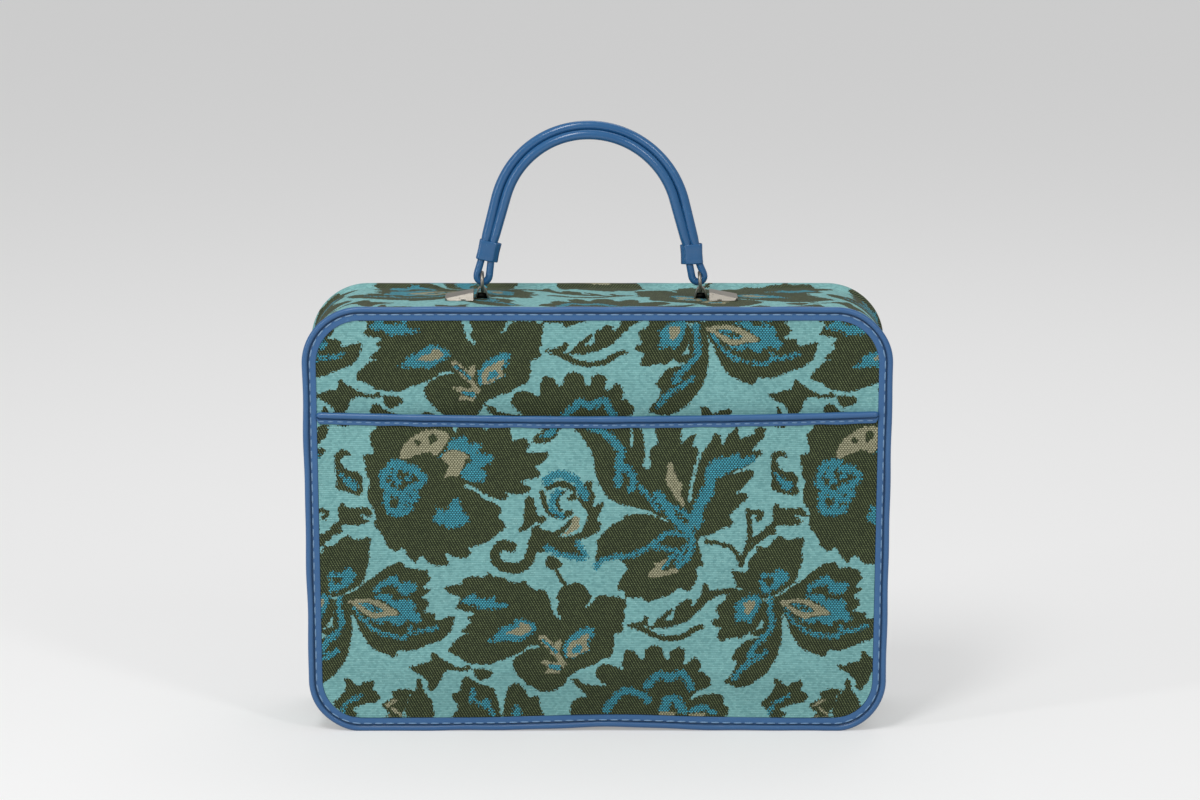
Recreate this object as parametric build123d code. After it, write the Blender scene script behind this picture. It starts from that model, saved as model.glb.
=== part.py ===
from build123d import *
from math import acos, atan2, cos, degrees, hypot, pi, radians, sin
import os

os.makedirs("parts", exist_ok=True)

# A soft sided overnight case. Width is X, the pocket side faces -Y, and +Z is up.
# The origin is under the middle of the whole case, on the surface that it stands on.

# Body of the case, over the welts
case_width = 380.0
case_height = 281.0
case_depth = 105.0
corner_top = 38.0
corner_bottom = 34.0

# Sheet goods
fabric = 1.0
board = 2.0
lining = 0.6
vinyl = 0.8
tape = 0.6
stitch_clear = 0.1          # gap between the edges of two sheets that butt

# Welts: a vinyl roll along each edge, with a flat flange that is stitched down
welt_radius = 2.0
welt_flat = 0.15            # the roll is pressed flat by this much where the case stands
gusset_setback = 2.6        # from the welt's outline in to the gusset's face
front_setback = 2.2         # from the welt's front in to the front fabric
front_band = 9.0            # welt and flange together, seen from the front
rear_setback = 2.4          # from the welt's back in to the flange's face
rear_band = 8.0

# Slip pocket on the front
pocket_mouth = 207.2        # height of the binding roll's centre
pocket_bulge = 6.5          # the mouth stands off the front by this much in the middle
pocket_knee = 40.0          # below this height the pocket closes in to its bottom seam
pocket_knee_bulge = 6.0
pocket_seam_bulge = 0.2
mouth_roll_radius = 2.1
mouth_band = 8.0            # roll and flange together
mouth_seat = 1.8            # from the roll's centre down to the pocket's cut edge

# Handle: a vinyl tube bent into a closed double loop
handle_offset = -4.0        # the brackets stand this far left of the middle
ring_half_span = 71.2       # from the handle's middle to each ring
grip_radius = 3.25
limb_radius = 2.4           # the empty tube at the ends, under the collars
strand_gap = 0.3
grip_rise = 114.1           # from the gusset's face to the middle of the grip at the top
grip_arc = 62.1
grip_lift = 2.65            # half the height between the two strands at the top
grip_spread = 2.15          # half the depth between them there
eye_lean = 5.0
eye_hole = 3.5
collar_rise = 32.8          # from the gusset's face to the collar's middle
collar_length = 13.0
collar_wall = 0.9
collar_lean = 9.0
collar_room = 1.2           # side room for the strands, which part below the collar's middle
collar_clear = 0.2
collar_round = 0.4          # each corner's radius as a share of the collar's thickness
fin_reach = 2.0
fin_thick = 1.6
knee_swell = 0.05           # the ball at each bend under a collar stands out by this much

# Rings, staples and bracket caps
ring_wire = 2.2
ring_bore = 10.0
ring_clear = 0.1            # between the handle's eye and the ring
staple_height = 7.8
staple_width = 5.0
staple_sheet = 0.9
staple_crown = 6.0          # outside width at the top
staple_foot = 9.2           # outside width at the gusset
staple_drop = 3.0           # from the ring's centre down to the staple's top
clinch_length = 4.0
slot_clear = 0.2
cap_gap = 1.2
cap_length = 18.5
cap_depth = 22.0
cap_height = 5.0
cap_toe = 1.3
cap_bevel = 3.0
cap_wall = 0.8
cap_corner = 3.0
prong_width = 3.0
prong_inset = 5.0
plate_sheet = 1.2
plate_depth = 30.0
plate_margin = 5.0
cover_room = 1.0            # between the plate and the lining's cover over it

# Back panel, which is the lid
lid_inset = 25.0            # from the outline in to the middle of the lid's own welt
lid_roll_radius = 1.7
lid_band = 6.5
hinge_height = 14.5
hinge_gap = 1.8             # bare cloth between the two halves of the hinge strip
hinge_foot = 4.0
hinge_lap = 8.0

# Zip, on three sides of the back
zip_inset = 16.2            # from the outline in to the middle of the chain
zip_start = 2.0             # from the slider's top up to the lowest pair of teeth, when the zip is closed
tooth_pitch = 4.0
tooth_width = 1.9
tooth_length = 2.4
tooth_thick = 3.0
tooth_root = 1.2
chain_gap = 1.2
tape_lap = 5.0              # how far the lid's tape runs in behind the lid
tape_notch = 0.6            # from the slider's side to the cut back tape beside it
slider_length = 14.0
slider_low = 34.0           # height of the slider's lower end when the zip is closed
slider_wall = 0.9
slider_clear = 0.35
slider_corner = 3.0
post_width = 0.6
post_length = 3.0
bridge_width = 2.6
bridge_span = 7.4
bridge_sheet = 1.0
bridge_room = 2.2
pull_length = 24.0
pull_width = 8.0
pull_sheet = 1.2
pull_bar = 1.4
pull_window = 4.6
pull_hole = 1.6
pull_corner = 2.0
patch_length = 12.0
patch_drop = 4.0            # from the slider's lower end down to the patch

# Planes that follow from the sizes above
front_welt = -case_depth / 2 + welt_radius
rear_welt = case_depth / 2 - welt_radius
front_face = -case_depth / 2 + front_setback
front_board_face = front_face + fabric
front_board_back = front_board_face + board
front_lining_back = front_board_back + lining
fabric_outer = gusset_setback
board_outer = fabric_outer + fabric
board_inner = board_outer + board
lining_inner = board_inner + lining
gusset_top = case_height - gusset_setback
rear_flange_face = case_depth / 2 - rear_setback
tape_face = rear_flange_face - vinyl
tape_back = tape_face - tape
tape_middle = tape_face - tape / 2
lid_board_face = tape_face + board
lid_face = lid_board_face + fabric
hinge_depth = lid_face - vinyl / 2
front_reach = -front_face + pocket_bulge + 2 * mouth_roll_radius
slider_face = tape_middle + tooth_thick / 2 + slider_clear + slider_wall
rear_reach = slider_face + bridge_room + bridge_sheet
depth_shift = (front_reach - rear_reach) / 2


def export(node, shape):
    """Write one named piece, moved so that the whole case is centred on the origin."""
    export_step(Pos(0, depth_shift, 0) * shape, f"parts/{node}.step")


def sheet_outline(inset):
    """The case's rounded outline, moved in all round by inset, as a face seen from the front."""
    low = inset - welt_flat
    high = case_height - inset
    face = Plane.XZ * Pos(0, (low + high) / 2) * Rectangle(case_width - 2 * inset, high - low)
    corners = face.vertices().sort_by(Axis.Z)
    face = fillet(corners[2:], max(corner_top - inset, 1.0))
    corners = face.vertices().sort_by(Axis.Z)
    return fillet([corners[0], corners[1]], max(corner_bottom - inset, 1.0))


def panel(inset, front, back):
    """A flat sheet with the case's outline, between two planes."""
    return Pos(0, back, 0) * extrude(sheet_outline(inset), back - front)


def band(outer, inner, front, back):
    """A band that follows the case's outline between two insets."""
    return panel(outer, front, back) - panel(inner, front - 1, back + 1)


def block(x, y, z):
    """A box given by its lowest and highest value along each axis."""
    size = (x[1] - x[0], y[1] - y[0], z[1] - z[0])
    return Pos((x[0] + x[1]) / 2, (y[0] + y[1]) / 2, (z[0] + z[1]) / 2) * Box(*size)


def outline_path(inset, depth):
    """The outline as a closed path that starts in the middle of the bottom edge."""
    half = case_width / 2 - inset
    low = inset - welt_flat
    high = case_height - inset
    top = corner_top - inset
    foot = corner_bottom - inset
    return Pos(0, depth, 0) * (Plane.XZ * Wire([
        Edge.make_line((0, low), (half - foot, low)),
        Edge.make_circle(foot, Plane(origin=(half - foot, low + foot)), 270, 360),
        Edge.make_line((half, low + foot), (half, high - top)),
        Edge.make_circle(top, Plane(origin=(half - top, high - top)), 0, 90),
        Edge.make_line((half - top, high), (top - half, high)),
        Edge.make_circle(top, Plane(origin=(top - half, high - top)), 90, 180),
        Edge.make_line((-half, high - top), (-half, low + foot)),
        Edge.make_circle(foot, Plane(origin=(foot - half, low + foot)), 180, 270),
        Edge.make_line((foot - half, low), (0, low)),
    ]))


def welt(depth, flange):
    """A roll along the outline at one depth, joined to a flange given as two insets and two depths."""
    start = Plane(origin=(0, depth, welt_radius - welt_flat), x_dir=(0, 1, 0), z_dir=(1, 0, 0))
    path = outline_path(welt_radius, depth)
    roll = sweep(start * Circle(welt_radius), path=path)
    (outer, inner), (front, back) = flange
    trim = block((-case_width, case_width), (-case_depth, case_depth), (0, 2 * case_height))
    return (roll + band(outer, inner, front, back)) & trim


def above(shape, height):
    """The part of a shape that lies above one height."""
    return shape - block((-case_width, case_width), (-case_depth, case_depth), (-case_height, height))


def tangent_lean(reach, rise, radius):
    """The angle at which a straight line from (reach, 0) meets a circle whose centre is at (0, rise)."""
    return acos(radius / hypot(reach, rise)) - atan2(rise, reach)


# Shell: fibreboard gusset and front, covered with brocade
gusset_board = band(board_outer, board_inner, front_board_back, tape_back)
gusset_fabric = band(fabric_outer, board_outer, front_welt + welt_radius, rear_welt - welt_radius)
roll_clear = 2 * welt_radius + stitch_clear / 2
front_board = panel(roll_clear, front_board_face, front_board_back)
front_fabric = panel(roll_clear, front_face, front_board_face)
front_binding = welt(front_welt, ((welt_radius, front_band), (front_face - vinyl, front_face)))
rear_binding = welt(rear_welt, ((welt_radius, rear_band), (tape_face, rear_flange_face)))


def bowed_strip(height, bulge, inner, outer):
    """A thin face at one height, bowed forward by bulge, between two offsets from the front."""
    half = case_width / 2 - pocket_inset
    near = front_face - inner
    far = front_face - outer
    edges = [
        Edge.make_three_point_arc((-half, near), (0, near - bulge), (half, near)),
        Edge.make_line((half, near), (half, far)),
        Edge.make_three_point_arc((half, far), (0, far - bulge), (-half, far)),
        Edge.make_line((-half, far), (-half, near)),
    ]
    return Pos(0, 0, height) * Face(Wire(edges))


# Slip pocket: a brocade sheet that bows forward, bound along its mouth
pocket_inset = front_band + stitch_clear
pocket_top = pocket_mouth - mouth_seat
pocket_floor = pocket_inset - welt_flat
pocket_sheet = loft([
    bowed_strip(pocket_floor, pocket_seam_bulge, 0, fabric),
    bowed_strip(pocket_knee, pocket_knee_bulge, 0, fabric),
    bowed_strip(pocket_top, pocket_bulge, 0, fabric),
], ruled=True)
pocket_reach = front_face - 2 * pocket_bulge - 2 * fabric
pocket_panel = pocket_sheet & panel(pocket_inset, pocket_reach, front_face)

half_mouth = case_width / 2 - pocket_inset
mouth_depth = front_face - mouth_roll_radius
mouth_path = Edge.make_three_point_arc(
    (-half_mouth, mouth_depth, pocket_mouth),
    (0, mouth_depth - pocket_bulge, pocket_mouth),
    (half_mouth, mouth_depth, pocket_mouth),
)
mouth_roll = sweep(Plane(mouth_path @ 0, z_dir=mouth_path % 0) * Circle(mouth_roll_radius), path=mouth_path)
flange_height = mouth_band - mouth_roll_radius
mouth_strip = bowed_strip(pocket_mouth - flange_height, pocket_bulge, fabric, fabric + vinyl)
mouth_ends = block((-half_mouth, half_mouth), (pocket_reach, front_face), (0, case_height))
pocket_binding = (mouth_roll + extrude(mouth_strip, flange_height, dir=(0, 0, 1))) & mouth_ends


def round_rod(start, end, radius, end_radius=None):
    """A straight round rod between two points, tapered if the second radius differs."""
    run = end - start
    plane = Plane(origin=start, z_dir=run)
    if end_radius is None:
        return Solid.make_cylinder(radius, run.length, plane)
    return Solid.make_cone(radius, end_radius, run.length, plane)


def round_bend(centre, point, axis, angle, radius):
    """A round rod that starts at point and turns by angle about an axis through centre."""
    heading = Vector(axis).cross(point - centre)
    section = Plane(origin=point, z_dir=heading) * Circle(radius)
    return revolve(section, Axis(centre, axis), angle)


# Handle brackets: a staple and a bevelled cap on each side, held by a steel plate inside
ring_height = gusset_top + staple_height + staple_drop
plate_low = gusset_top - fabric - board - plate_sheet
clinch_low = plate_low - staple_sheet
cap_start = staple_foot / 2 + cap_gap
plate_half = ring_half_span + cap_start + cap_length + plate_margin
plate_x = (-plate_half, plate_half)
plate_y = (-plate_depth / 2, plate_depth / 2)
handle_plate = block(plate_x, plate_y, (plate_low, plate_low + plate_sheet))


def staple():
    """A sheet hoop with flared legs, pushed down through the gusset and clinched outward."""
    half_sheet = staple_sheet / 2
    bend = staple_crown / 2 - half_sheet
    reach = staple_foot / 2 - half_sheet
    rise = staple_height - staple_crown / 2
    lean = tangent_lean(reach, rise, bend)
    foot = Vector(reach, 0, gusset_top)
    touch = Vector(bend * cos(lean), 0, gusset_top + rise + bend * sin(lean))
    side = Vector(cos(lean), 0, sin(lean)) * half_sheet
    leg = Face(Wire.make_polygon([foot + side, touch + side, touch - side, foot - side]))
    centre = Vector(0, 0, gusset_top + rise)
    section = Face(Wire.make_polygon([
        touch + side + (0, -staple_width / 2, 0), touch + side + (0, staple_width / 2, 0),
        touch - side + (0, staple_width / 2, 0), touch - side + (0, -staple_width / 2, 0),
    ]))
    crown = revolve(section, Axis(centre, (0, -1, 0)), 180 - 2 * degrees(lean))
    width = (-staple_width / 2, staple_width / 2)
    stem = block((reach - half_sheet, reach + half_sheet), width, (clinch_low, gusset_top + half_sheet))
    toe = block((reach - half_sheet, reach + clinch_length), width, (clinch_low, plate_low))
    half = extrude(leg, staple_width / 2, both=True) + stem + toe
    return crown + half + mirror(half, about=Plane.YZ)


def wedge(start, length, depth, height, toe, bevel, corner, low):
    """The cap's outer form: highest beside the staple, bevelled front and back, round at the toe."""
    profile = Plane.XZ * Polygon((start, low), (start + length, low), (start + length, gusset_top + toe),
                                 (start, gusset_top + height), align=None)
    slope = extrude(profile, depth / 2, both=True)
    toes = slope.edges().filter_by(Axis.Z).group_by(Axis.X)[-1]
    slope = fillet(toes, corner)
    half = depth / 2
    roof = Plane.YZ * Polygon((-half, low), (half, low), (half, gusset_top), (half - bevel, gusset_top + height),
                              (bevel - half, gusset_top + height), (-half, gusset_top), align=None)
    return slope & extrude(roof, start + length)


def bracket_cap():
    """A pressed cap, hollow underneath, with two prongs through the gusset."""
    shell = wedge(cap_start, cap_length, cap_depth, cap_height, cap_toe, cap_bevel, cap_corner, gusset_top)
    hollow = wedge(cap_start + cap_wall, cap_length - 2 * cap_wall, cap_depth - 2 * cap_wall,
                   cap_height - cap_wall, cap_toe - cap_wall, cap_bevel, cap_corner - cap_wall,
                   gusset_top - cap_wall)
    cap = shell - hollow
    for side in (-1, 1):
        edge = side * (cap_depth / 2 - cap_wall / 2)
        near = (edge - cap_wall / 2, edge + cap_wall / 2)
        along = (cap_start + prong_inset, cap_start + prong_inset + prong_width)
        back = sorted((edge + side * cap_wall / 2, edge - side * clinch_length))
        cap += block(along, near, (clinch_low, gusset_top + cap_wall))
        cap += block(along, back, (clinch_low, plate_low))
    return cap


def both_sides(shape):
    """A right hand piece and its mirror image, placed at the two rings."""
    right = Pos(ring_half_span, 0, 0) * shape
    return Pos(handle_offset, 0, 0) * right, Pos(handle_offset, 0, 0) * mirror(right, about=Plane.YZ)


staple_right, staple_left = both_sides(staple())
bracket_cap_right, bracket_cap_left = both_sides(bracket_cap())


def leg_slots():
    """The slots that the staple's legs and the cap's prongs pass through."""
    reach = staple_foot / 2 - staple_sheet / 2
    grow = staple_sheet / 2 + slot_clear
    wide = staple_width / 2 + slot_clear
    depth = (clinch_low, gusset_top + 1)
    slots = []
    for side in (-1, 1):
        slots.append(block((side * reach - grow, side * reach + grow), (-wide, wide), depth))
        edge = side * (cap_depth / 2 - cap_wall / 2)
        thick = cap_wall / 2 + slot_clear
        start = cap_start + prong_inset - slot_clear
        slots.append(block((start, start + prong_width + 2 * slot_clear), (edge - thick, edge + thick), depth))
    return Part() + slots


slots_right, slots_left = both_sides(leg_slots())
handle_plate = Pos(handle_offset, 0, 0) * handle_plate - slots_right - slots_left
gusset_board = gusset_board - slots_right - slots_left
gusset_fabric = gusset_fabric - slots_right - slots_left

# Lining: a cloth tray inside the boards, raised over the handle's plate
cover_x = (plate_x[0] + handle_offset - cover_room, plate_x[1] + handle_offset + cover_room)
cover_y = (plate_y[0] - cover_room, plate_y[1] + cover_room)
cover_low = clinch_low - cover_room / 2
cover_room_inside = block(cover_x, cover_y, (cover_low, gusset_top))
cover = block((cover_x[0] - lining, cover_x[1] + lining), (cover_y[0] - lining, cover_y[1] + lining),
              (cover_low - lining, case_height - board_inner))
case_lining = band(board_inner, lining_inner, front_board_back, tape_back)
case_lining = case_lining + panel(board_inner, front_board_back, front_lining_back)
case_lining = case_lining + cover - cover_room_inside

# Handle: two strands side by side at the collars, one behind the other at the top
eye_bend = eye_hole / 2 + limb_radius
eye_low = ring_height + ring_bore / 2 - ring_clear - limb_radius
eye_up = Vector(-sin(radians(eye_lean)), 0, cos(radians(eye_lean)))
eye_out = Vector(cos(radians(eye_lean)), 0, sin(radians(eye_lean)))
eye_foot = Vector(ring_half_span, 0, eye_low)
eye_centre = eye_foot + eye_up * eye_bend
knee_middle = eye_foot + eye_up * ((gusset_top + collar_rise - eye_low) / eye_up.Z)
knee_apart = limb_radius + strand_gap / 2
knee_ball = limb_radius + knee_swell


def strand(side):
    """One strand of the grip, the outer one for side 1 and the inner one for side -1."""
    knee = knee_middle + eye_out * (side * knee_apart)
    climb = gusset_top + grip_rise + side * grip_lift - knee.Z
    radius = grip_arc + side * (grip_radius + strand_gap / 2)
    up = Vector(0, side * grip_spread, climb).normalized()
    rise = hypot(climb, grip_spread) - radius
    centre = Vector(0, 0, knee.Z) + up * rise
    lean = tangent_lean(knee.X, rise, radius)
    touch = centre + Vector(radius * cos(lean), 0, 0) + up * (radius * sin(lean))
    along = (touch - knee).normalized()
    narrow = knee + along * (collar_length / 2)
    leg = round_rod(knee, narrow, limb_radius).fuse(round_rod(narrow, touch, limb_radius, grip_radius))
    turn = Vector(1, 0, 0).cross(up)
    arch = round_bend(centre, touch, turn, 180 - 2 * degrees(lean), grip_radius)
    return arch + leg + mirror(leg, about=Plane.YZ)


def eye():
    """The right hand end of the loop: two limbs that part and turn under the ring."""
    up = (knee_middle - eye_centre).dot(eye_up)
    part = atan2(up, knee_apart) - acos(eye_bend / hypot(knee_apart, up))
    right = eye_centre + eye_out * (eye_bend * cos(part)) + eye_up * (eye_bend * sin(part))
    left = eye_centre - eye_out * (eye_bend * cos(part)) + eye_up * (eye_bend * sin(part))
    bend = round_bend(eye_centre, right, (0, 1, 0), 180 + 2 * degrees(part), limb_radius)
    outer = knee_middle + eye_out * knee_apart
    inner = knee_middle - eye_out * knee_apart
    limbs = [round_rod(right, outer, limb_radius), round_rod(left, inner, limb_radius)]
    knees = [Pos(*outer) * Sphere(knee_ball), Pos(*inner) * Sphere(knee_ball)]
    return bend + limbs + knees


right_eye = eye()
handle_loop = strand(1) + strand(-1) + right_eye + mirror(right_eye, about=Plane.YZ)
handle_loop = Pos(handle_offset, 0, 0) * handle_loop

# Collars: a vinyl strip wrapped round both strands, its ends lapped into a fin on the inner side
collar_up = Vector(-sin(radians(collar_lean)), 0, cos(radians(collar_lean)))
collar_plane = Plane(origin=knee_middle, x_dir=collar_up.cross(Vector(0, 1, 0)) * -1, z_dir=collar_up)
collar_bore_width = 2 * (knee_apart + limb_radius + collar_room)
collar_bore_depth = 2 * (limb_radius + collar_clear)
collar_width = collar_bore_width + 2 * collar_wall
collar_thick = collar_bore_depth + 2 * collar_wall
collar_section = RectangleRounded(collar_width, collar_thick, collar_thick * collar_round)
collar_section -= RectangleRounded(collar_bore_width, collar_bore_depth, collar_bore_depth * collar_round)
fin_section = Pos(-(collar_width + fin_reach) / 2 + collar_wall / 2, 0) * Rectangle(
    fin_reach + collar_wall, fin_thick)
collar_shape = extrude(collar_plane * (collar_section + fin_section), collar_length / 2, both=True)
collar_right = Pos(handle_offset, 0, 0) * collar_shape
collar_left = Pos(handle_offset, 0, 0) * mirror(collar_shape, about=Plane.YZ)

# Rings: closed wire rings that stand across the case and join each eye to its staple
ring = Rot(0, 90, 0) * Torus((ring_bore + ring_wire) / 2, ring_wire / 2)
ring_right = Pos(handle_offset + ring_half_span, 0, ring_height) * ring
ring_left = Pos(handle_offset - ring_half_span, 0, ring_height) * ring

# Lid: a covered board with its own welt on three sides, hinged along the bottom by a vinyl strip
lid_edge = lid_inset + lid_roll_radius
lid_board = panel(lid_edge, tape_face, lid_board_face)
lid_fabric = panel(lid_edge, lid_board_face, lid_face)
lid_low = lid_inset - welt_flat
lid_roll_depth = lid_face - lid_roll_radius + vinyl / 2
lid_roll_start = Plane(origin=(0, lid_roll_depth, lid_low), x_dir=(0, 1, 0), z_dir=(1, 0, 0))
lid_roll = sweep(lid_roll_start * Circle(lid_roll_radius), path=outline_path(lid_inset, lid_roll_depth))
lid_flange = band(lid_inset, lid_inset + lid_band, lid_face, lid_face + vinyl)
lid_corner = corner_bottom - welt_flat
lid_binding = above(lid_roll + lid_flange, lid_corner)
lid_binding -= lid_fabric

half_hinge = case_width / 2 - lid_edge - (corner_bottom - lid_edge)
hinge_x = (-half_hinge, half_hinge)
strip_y = (lid_face - vinyl, lid_face)
hinge_strip = block(hinge_x, strip_y, (welt_radius + hinge_foot / 2, hinge_height - hinge_gap / 2))
hinge_strip += block(hinge_x, (rear_flange_face, lid_face), (welt_radius + hinge_foot / 2, rear_band - welt_flat))
lid_hinge_strip = block(hinge_x, strip_y, (hinge_height + hinge_gap / 2, lid_edge - welt_flat))
lid_hinge_strip += block(hinge_x, (lid_face, lid_face + vinyl),
                         (lid_edge - welt_flat - vinyl, lid_edge - welt_flat + hinge_lap))
lid_hinge_strip += block(hinge_x, strip_y, (lid_edge - welt_flat - vinyl, lid_edge - welt_flat))

# Zip: two tapes that carry a comb of teeth each, on three sides of the back
case_row_outer = zip_inset - chain_gap / 2 - tooth_length - tooth_root
lid_row_inner = zip_inset + chain_gap / 2 + tooth_length + tooth_root
slider_half = zip_inset - case_row_outer + slider_clear + slider_wall
tape_corner = 2 * welt_radius + stitch_clear
lid_tape_inner = lid_edge + tape_lap
slider_top = slider_low + slider_length
zip_low = slider_top + zip_start
patch_high = slider_low - patch_drop
patch_low = patch_high - patch_length
case_tape = above(band(tape_corner, case_row_outer + tooth_root / 2, tape_back, tape_face), patch_low)
lid_tape = above(band(lid_row_inner - tooth_root / 2, lid_tape_inner, tape_back, tape_face), lid_corner)
notch = panel(0, tape_back, tape_face) - panel(zip_inset + slider_half + tape_notch, -case_depth, case_depth)
lid_tape -= notch - above(notch, slider_top + tape_notch)
lid_lining = panel(lid_tape_inner + stitch_clear, tape_back, tape_face)


def chain_place(distance):
    """A place on the middle of the chain, measured up from its low right end; local +Y faces the lid."""
    half = case_width / 2 - zip_inset
    top = case_height - zip_inset
    radius = corner_top - zip_inset
    rise = case_height - corner_top - zip_low
    bend = radius * pi / 2
    across = case_width - 2 * corner_top
    if distance < rise:
        return Pos(half, zip_low + distance) * Rot(0, 0, 90)
    if distance < rise + bend:
        turn = (distance - rise) / radius
        return Pos(half - radius + radius * cos(turn), top - radius + radius * sin(turn)) * Rot(
            0, 0, 90 + degrees(turn))
    if distance < rise + bend + across:
        return Pos(half - radius - (distance - rise - bend), top) * Rot(0, 0, 180)
    if distance < rise + 2 * bend + across:
        turn = pi / 2 + (distance - rise - bend - across) / radius
        return Pos(radius - half + radius * cos(turn), top - radius + radius * sin(turn)) * Rot(
            0, 0, 90 + degrees(turn))
    return Pos(-half, top - radius - (distance - rise - 2 * bend - across)) * Rot(0, 0, 270)


def comb(side, start, end):
    """A row of teeth on its root: side 1 is the lid's row and side -1 the case's."""
    tip = side * chain_gap / 2
    root = tip + side * tooth_length
    back = root + side * tooth_root
    count = int((end - start) / tooth_pitch)
    front = []
    rear = []
    for number in range(count + 1):
        place = chain_place(start + number * tooth_pitch)
        corners = ((-tooth_width, root), (-tooth_width, tip), (tooth_width, tip), (tooth_width, root))
        front += [(place * Pos(along / 2, off)).position for along, off in corners]
        rear += [(place * Pos(along / 2, back)).position for along in (-tooth_width, tooth_width)]
    outline = Polygon([(point.X, point.Y) for point in front + rear[::-1]], align=None)
    return Pos(0, tape_middle, 0) * extrude(Plane.XZ * outline, tooth_thick / 2, both=True)


chain_rise = case_height - corner_top - zip_low
chain_bend = (corner_top - zip_inset) * pi / 2
chain_length = 2 * chain_rise + 2 * chain_bend + case_width - 2 * corner_top
lid_teeth = comb(1, 0, chain_length)
case_teeth = comb(-1, patch_high + tooth_pitch / 2 - zip_low, chain_length)
case_tape -= case_teeth
lid_tape -= lid_teeth

# Patches over the two lower ends of the zip
patch_near = case_width / 2 - lid_row_inner + tape_notch
end_patch_right = block((patch_near, case_width / 2), (tape_face, rear_flange_face), (patch_low, patch_high))
end_patch_right &= panel(rear_band + stitch_clear, tape_face, rear_flange_face)
end_patch_left = mirror(end_patch_right, about=Plane.YZ)

# Slider: two plates joined by a post that runs in the gap of the chain, and a bridge for the pull
slider_x = case_width / 2 - zip_inset
slider_z = slider_low + slider_length / 2
channel = tooth_thick / 2 + slider_clear
slot = tape / 2 + slider_clear


def slider():
    """The slider in its own frame: X across the chain, Y out of the back, Z up the chain."""
    plate = Plane.XZ * RectangleRounded(2 * slider_half, slider_length, slider_corner)
    body = extrude(plate, channel + slider_wall, both=True)
    inner = slider_half - slider_wall
    body -= block((-inner, inner), (-channel, channel), (-slider_length, slider_length))
    body -= block((-2 * inner, 2 * inner), (-slot, slot), (-slider_length, slider_length))
    nose = -slider_length / 2
    body += block((-post_width / 2, post_width / 2), (-channel - slider_wall / 2, channel + slider_wall / 2),
                  (nose, nose + post_length))
    top = channel + slider_wall
    half_span = bridge_span / 2
    rise = bridge_room + bridge_sheet
    hoop = Plane.YZ * Pos(top + rise / 2 - slider_wall / 4, 0) * Rectangle(rise + slider_wall / 2, bridge_span)
    hoop = fillet(hoop.vertices().group_by(Axis.Y)[-1], bridge_sheet)
    hole = Plane.YZ * Pos(top + bridge_room / 2, 0) * Rectangle(bridge_room, 2 * (half_span - bridge_sheet))
    return body + extrude(hoop - hole, bridge_width / 2, both=True)


def pull():
    """The pull tab, hanging from its bar at the origin of its own frame."""
    reach = pull_length - pull_bar / 2
    face = Plane.XZ * Pos(0, (pull_bar / 2 - reach) / 2) * RectangleRounded(
        pull_width, reach + pull_bar / 2, pull_corner)
    window_low = -(bridge_span / 2 + bridge_sheet + pull_bar / 2)
    window = Plane.XZ * Pos(0, (window_low - pull_bar / 2) / 2) * Rectangle(
        pull_window, -window_low - pull_bar / 2)
    hole = Plane.XZ * Pos(0, pull_width / 2 - reach) * Circle(pull_hole)
    return extrude(face - window - hole, pull_sheet / 2, both=True)


slider_body = Pos(slider_x, tape_middle, slider_z) * slider()
pull_depth = slider_face + bridge_room / 2
pull_tab = Pos(slider_x, pull_depth, slider_z) * pull()

pieces = {
    "gusset_board": gusset_board,
    "gusset_fabric": gusset_fabric,
    "front_board": front_board,
    "front_fabric": front_fabric,
    "front_binding": front_binding,
    "rear_binding": rear_binding,
    "pocket_panel": pocket_panel,
    "pocket_binding": pocket_binding,
    "case_lining": case_lining,
    "handle_plate": handle_plate,
    "staple_left": staple_left,
    "staple_right": staple_right,
    "bracket_cap_left": bracket_cap_left,
    "bracket_cap_right": bracket_cap_right,
    "handle_loop": handle_loop,
    "collar_left": collar_left,
    "collar_right": collar_right,
    "ring_left": ring_left,
    "ring_right": ring_right,
    "zip_tape_case": case_tape,
    "zip_teeth_case": case_teeth,
    "zip_tape_lid": lid_tape,
    "zip_teeth_lid": lid_teeth,
    "zip_end_patch_left": end_patch_left,
    "zip_end_patch_right": end_patch_right,
    "zip_slider": slider_body,
    "zip_pull": pull_tab,
    "lid_board": lid_board,
    "lid_fabric": lid_fabric,
    "lid_lining": lid_lining,
    "lid_binding": lid_binding,
    "lid_hinge_strip": lid_hinge_strip,
    "hinge_strip": hinge_strip,
}
for node, shape in pieces.items():
    export(node, shape)
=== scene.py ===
# A small upright suitcase in woven brocade with blue vinyl trim, dressed over its frame.
import math

import bmesh
import bpy
import numpy as np
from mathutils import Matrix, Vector


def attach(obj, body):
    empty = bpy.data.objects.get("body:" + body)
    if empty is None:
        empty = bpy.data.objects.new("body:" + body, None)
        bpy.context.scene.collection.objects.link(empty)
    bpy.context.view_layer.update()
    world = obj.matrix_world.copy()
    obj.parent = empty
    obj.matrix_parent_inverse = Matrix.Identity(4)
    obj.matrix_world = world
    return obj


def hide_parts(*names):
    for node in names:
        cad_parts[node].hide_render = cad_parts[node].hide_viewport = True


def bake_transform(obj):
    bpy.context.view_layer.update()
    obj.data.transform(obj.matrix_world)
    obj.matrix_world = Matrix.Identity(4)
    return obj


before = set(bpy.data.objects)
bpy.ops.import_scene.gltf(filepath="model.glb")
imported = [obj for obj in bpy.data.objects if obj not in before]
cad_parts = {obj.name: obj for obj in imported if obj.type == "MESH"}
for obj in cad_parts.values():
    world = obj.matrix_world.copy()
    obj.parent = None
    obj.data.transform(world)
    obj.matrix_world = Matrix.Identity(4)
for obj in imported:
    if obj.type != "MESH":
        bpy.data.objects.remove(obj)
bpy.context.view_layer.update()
mm = 0.001

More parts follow.
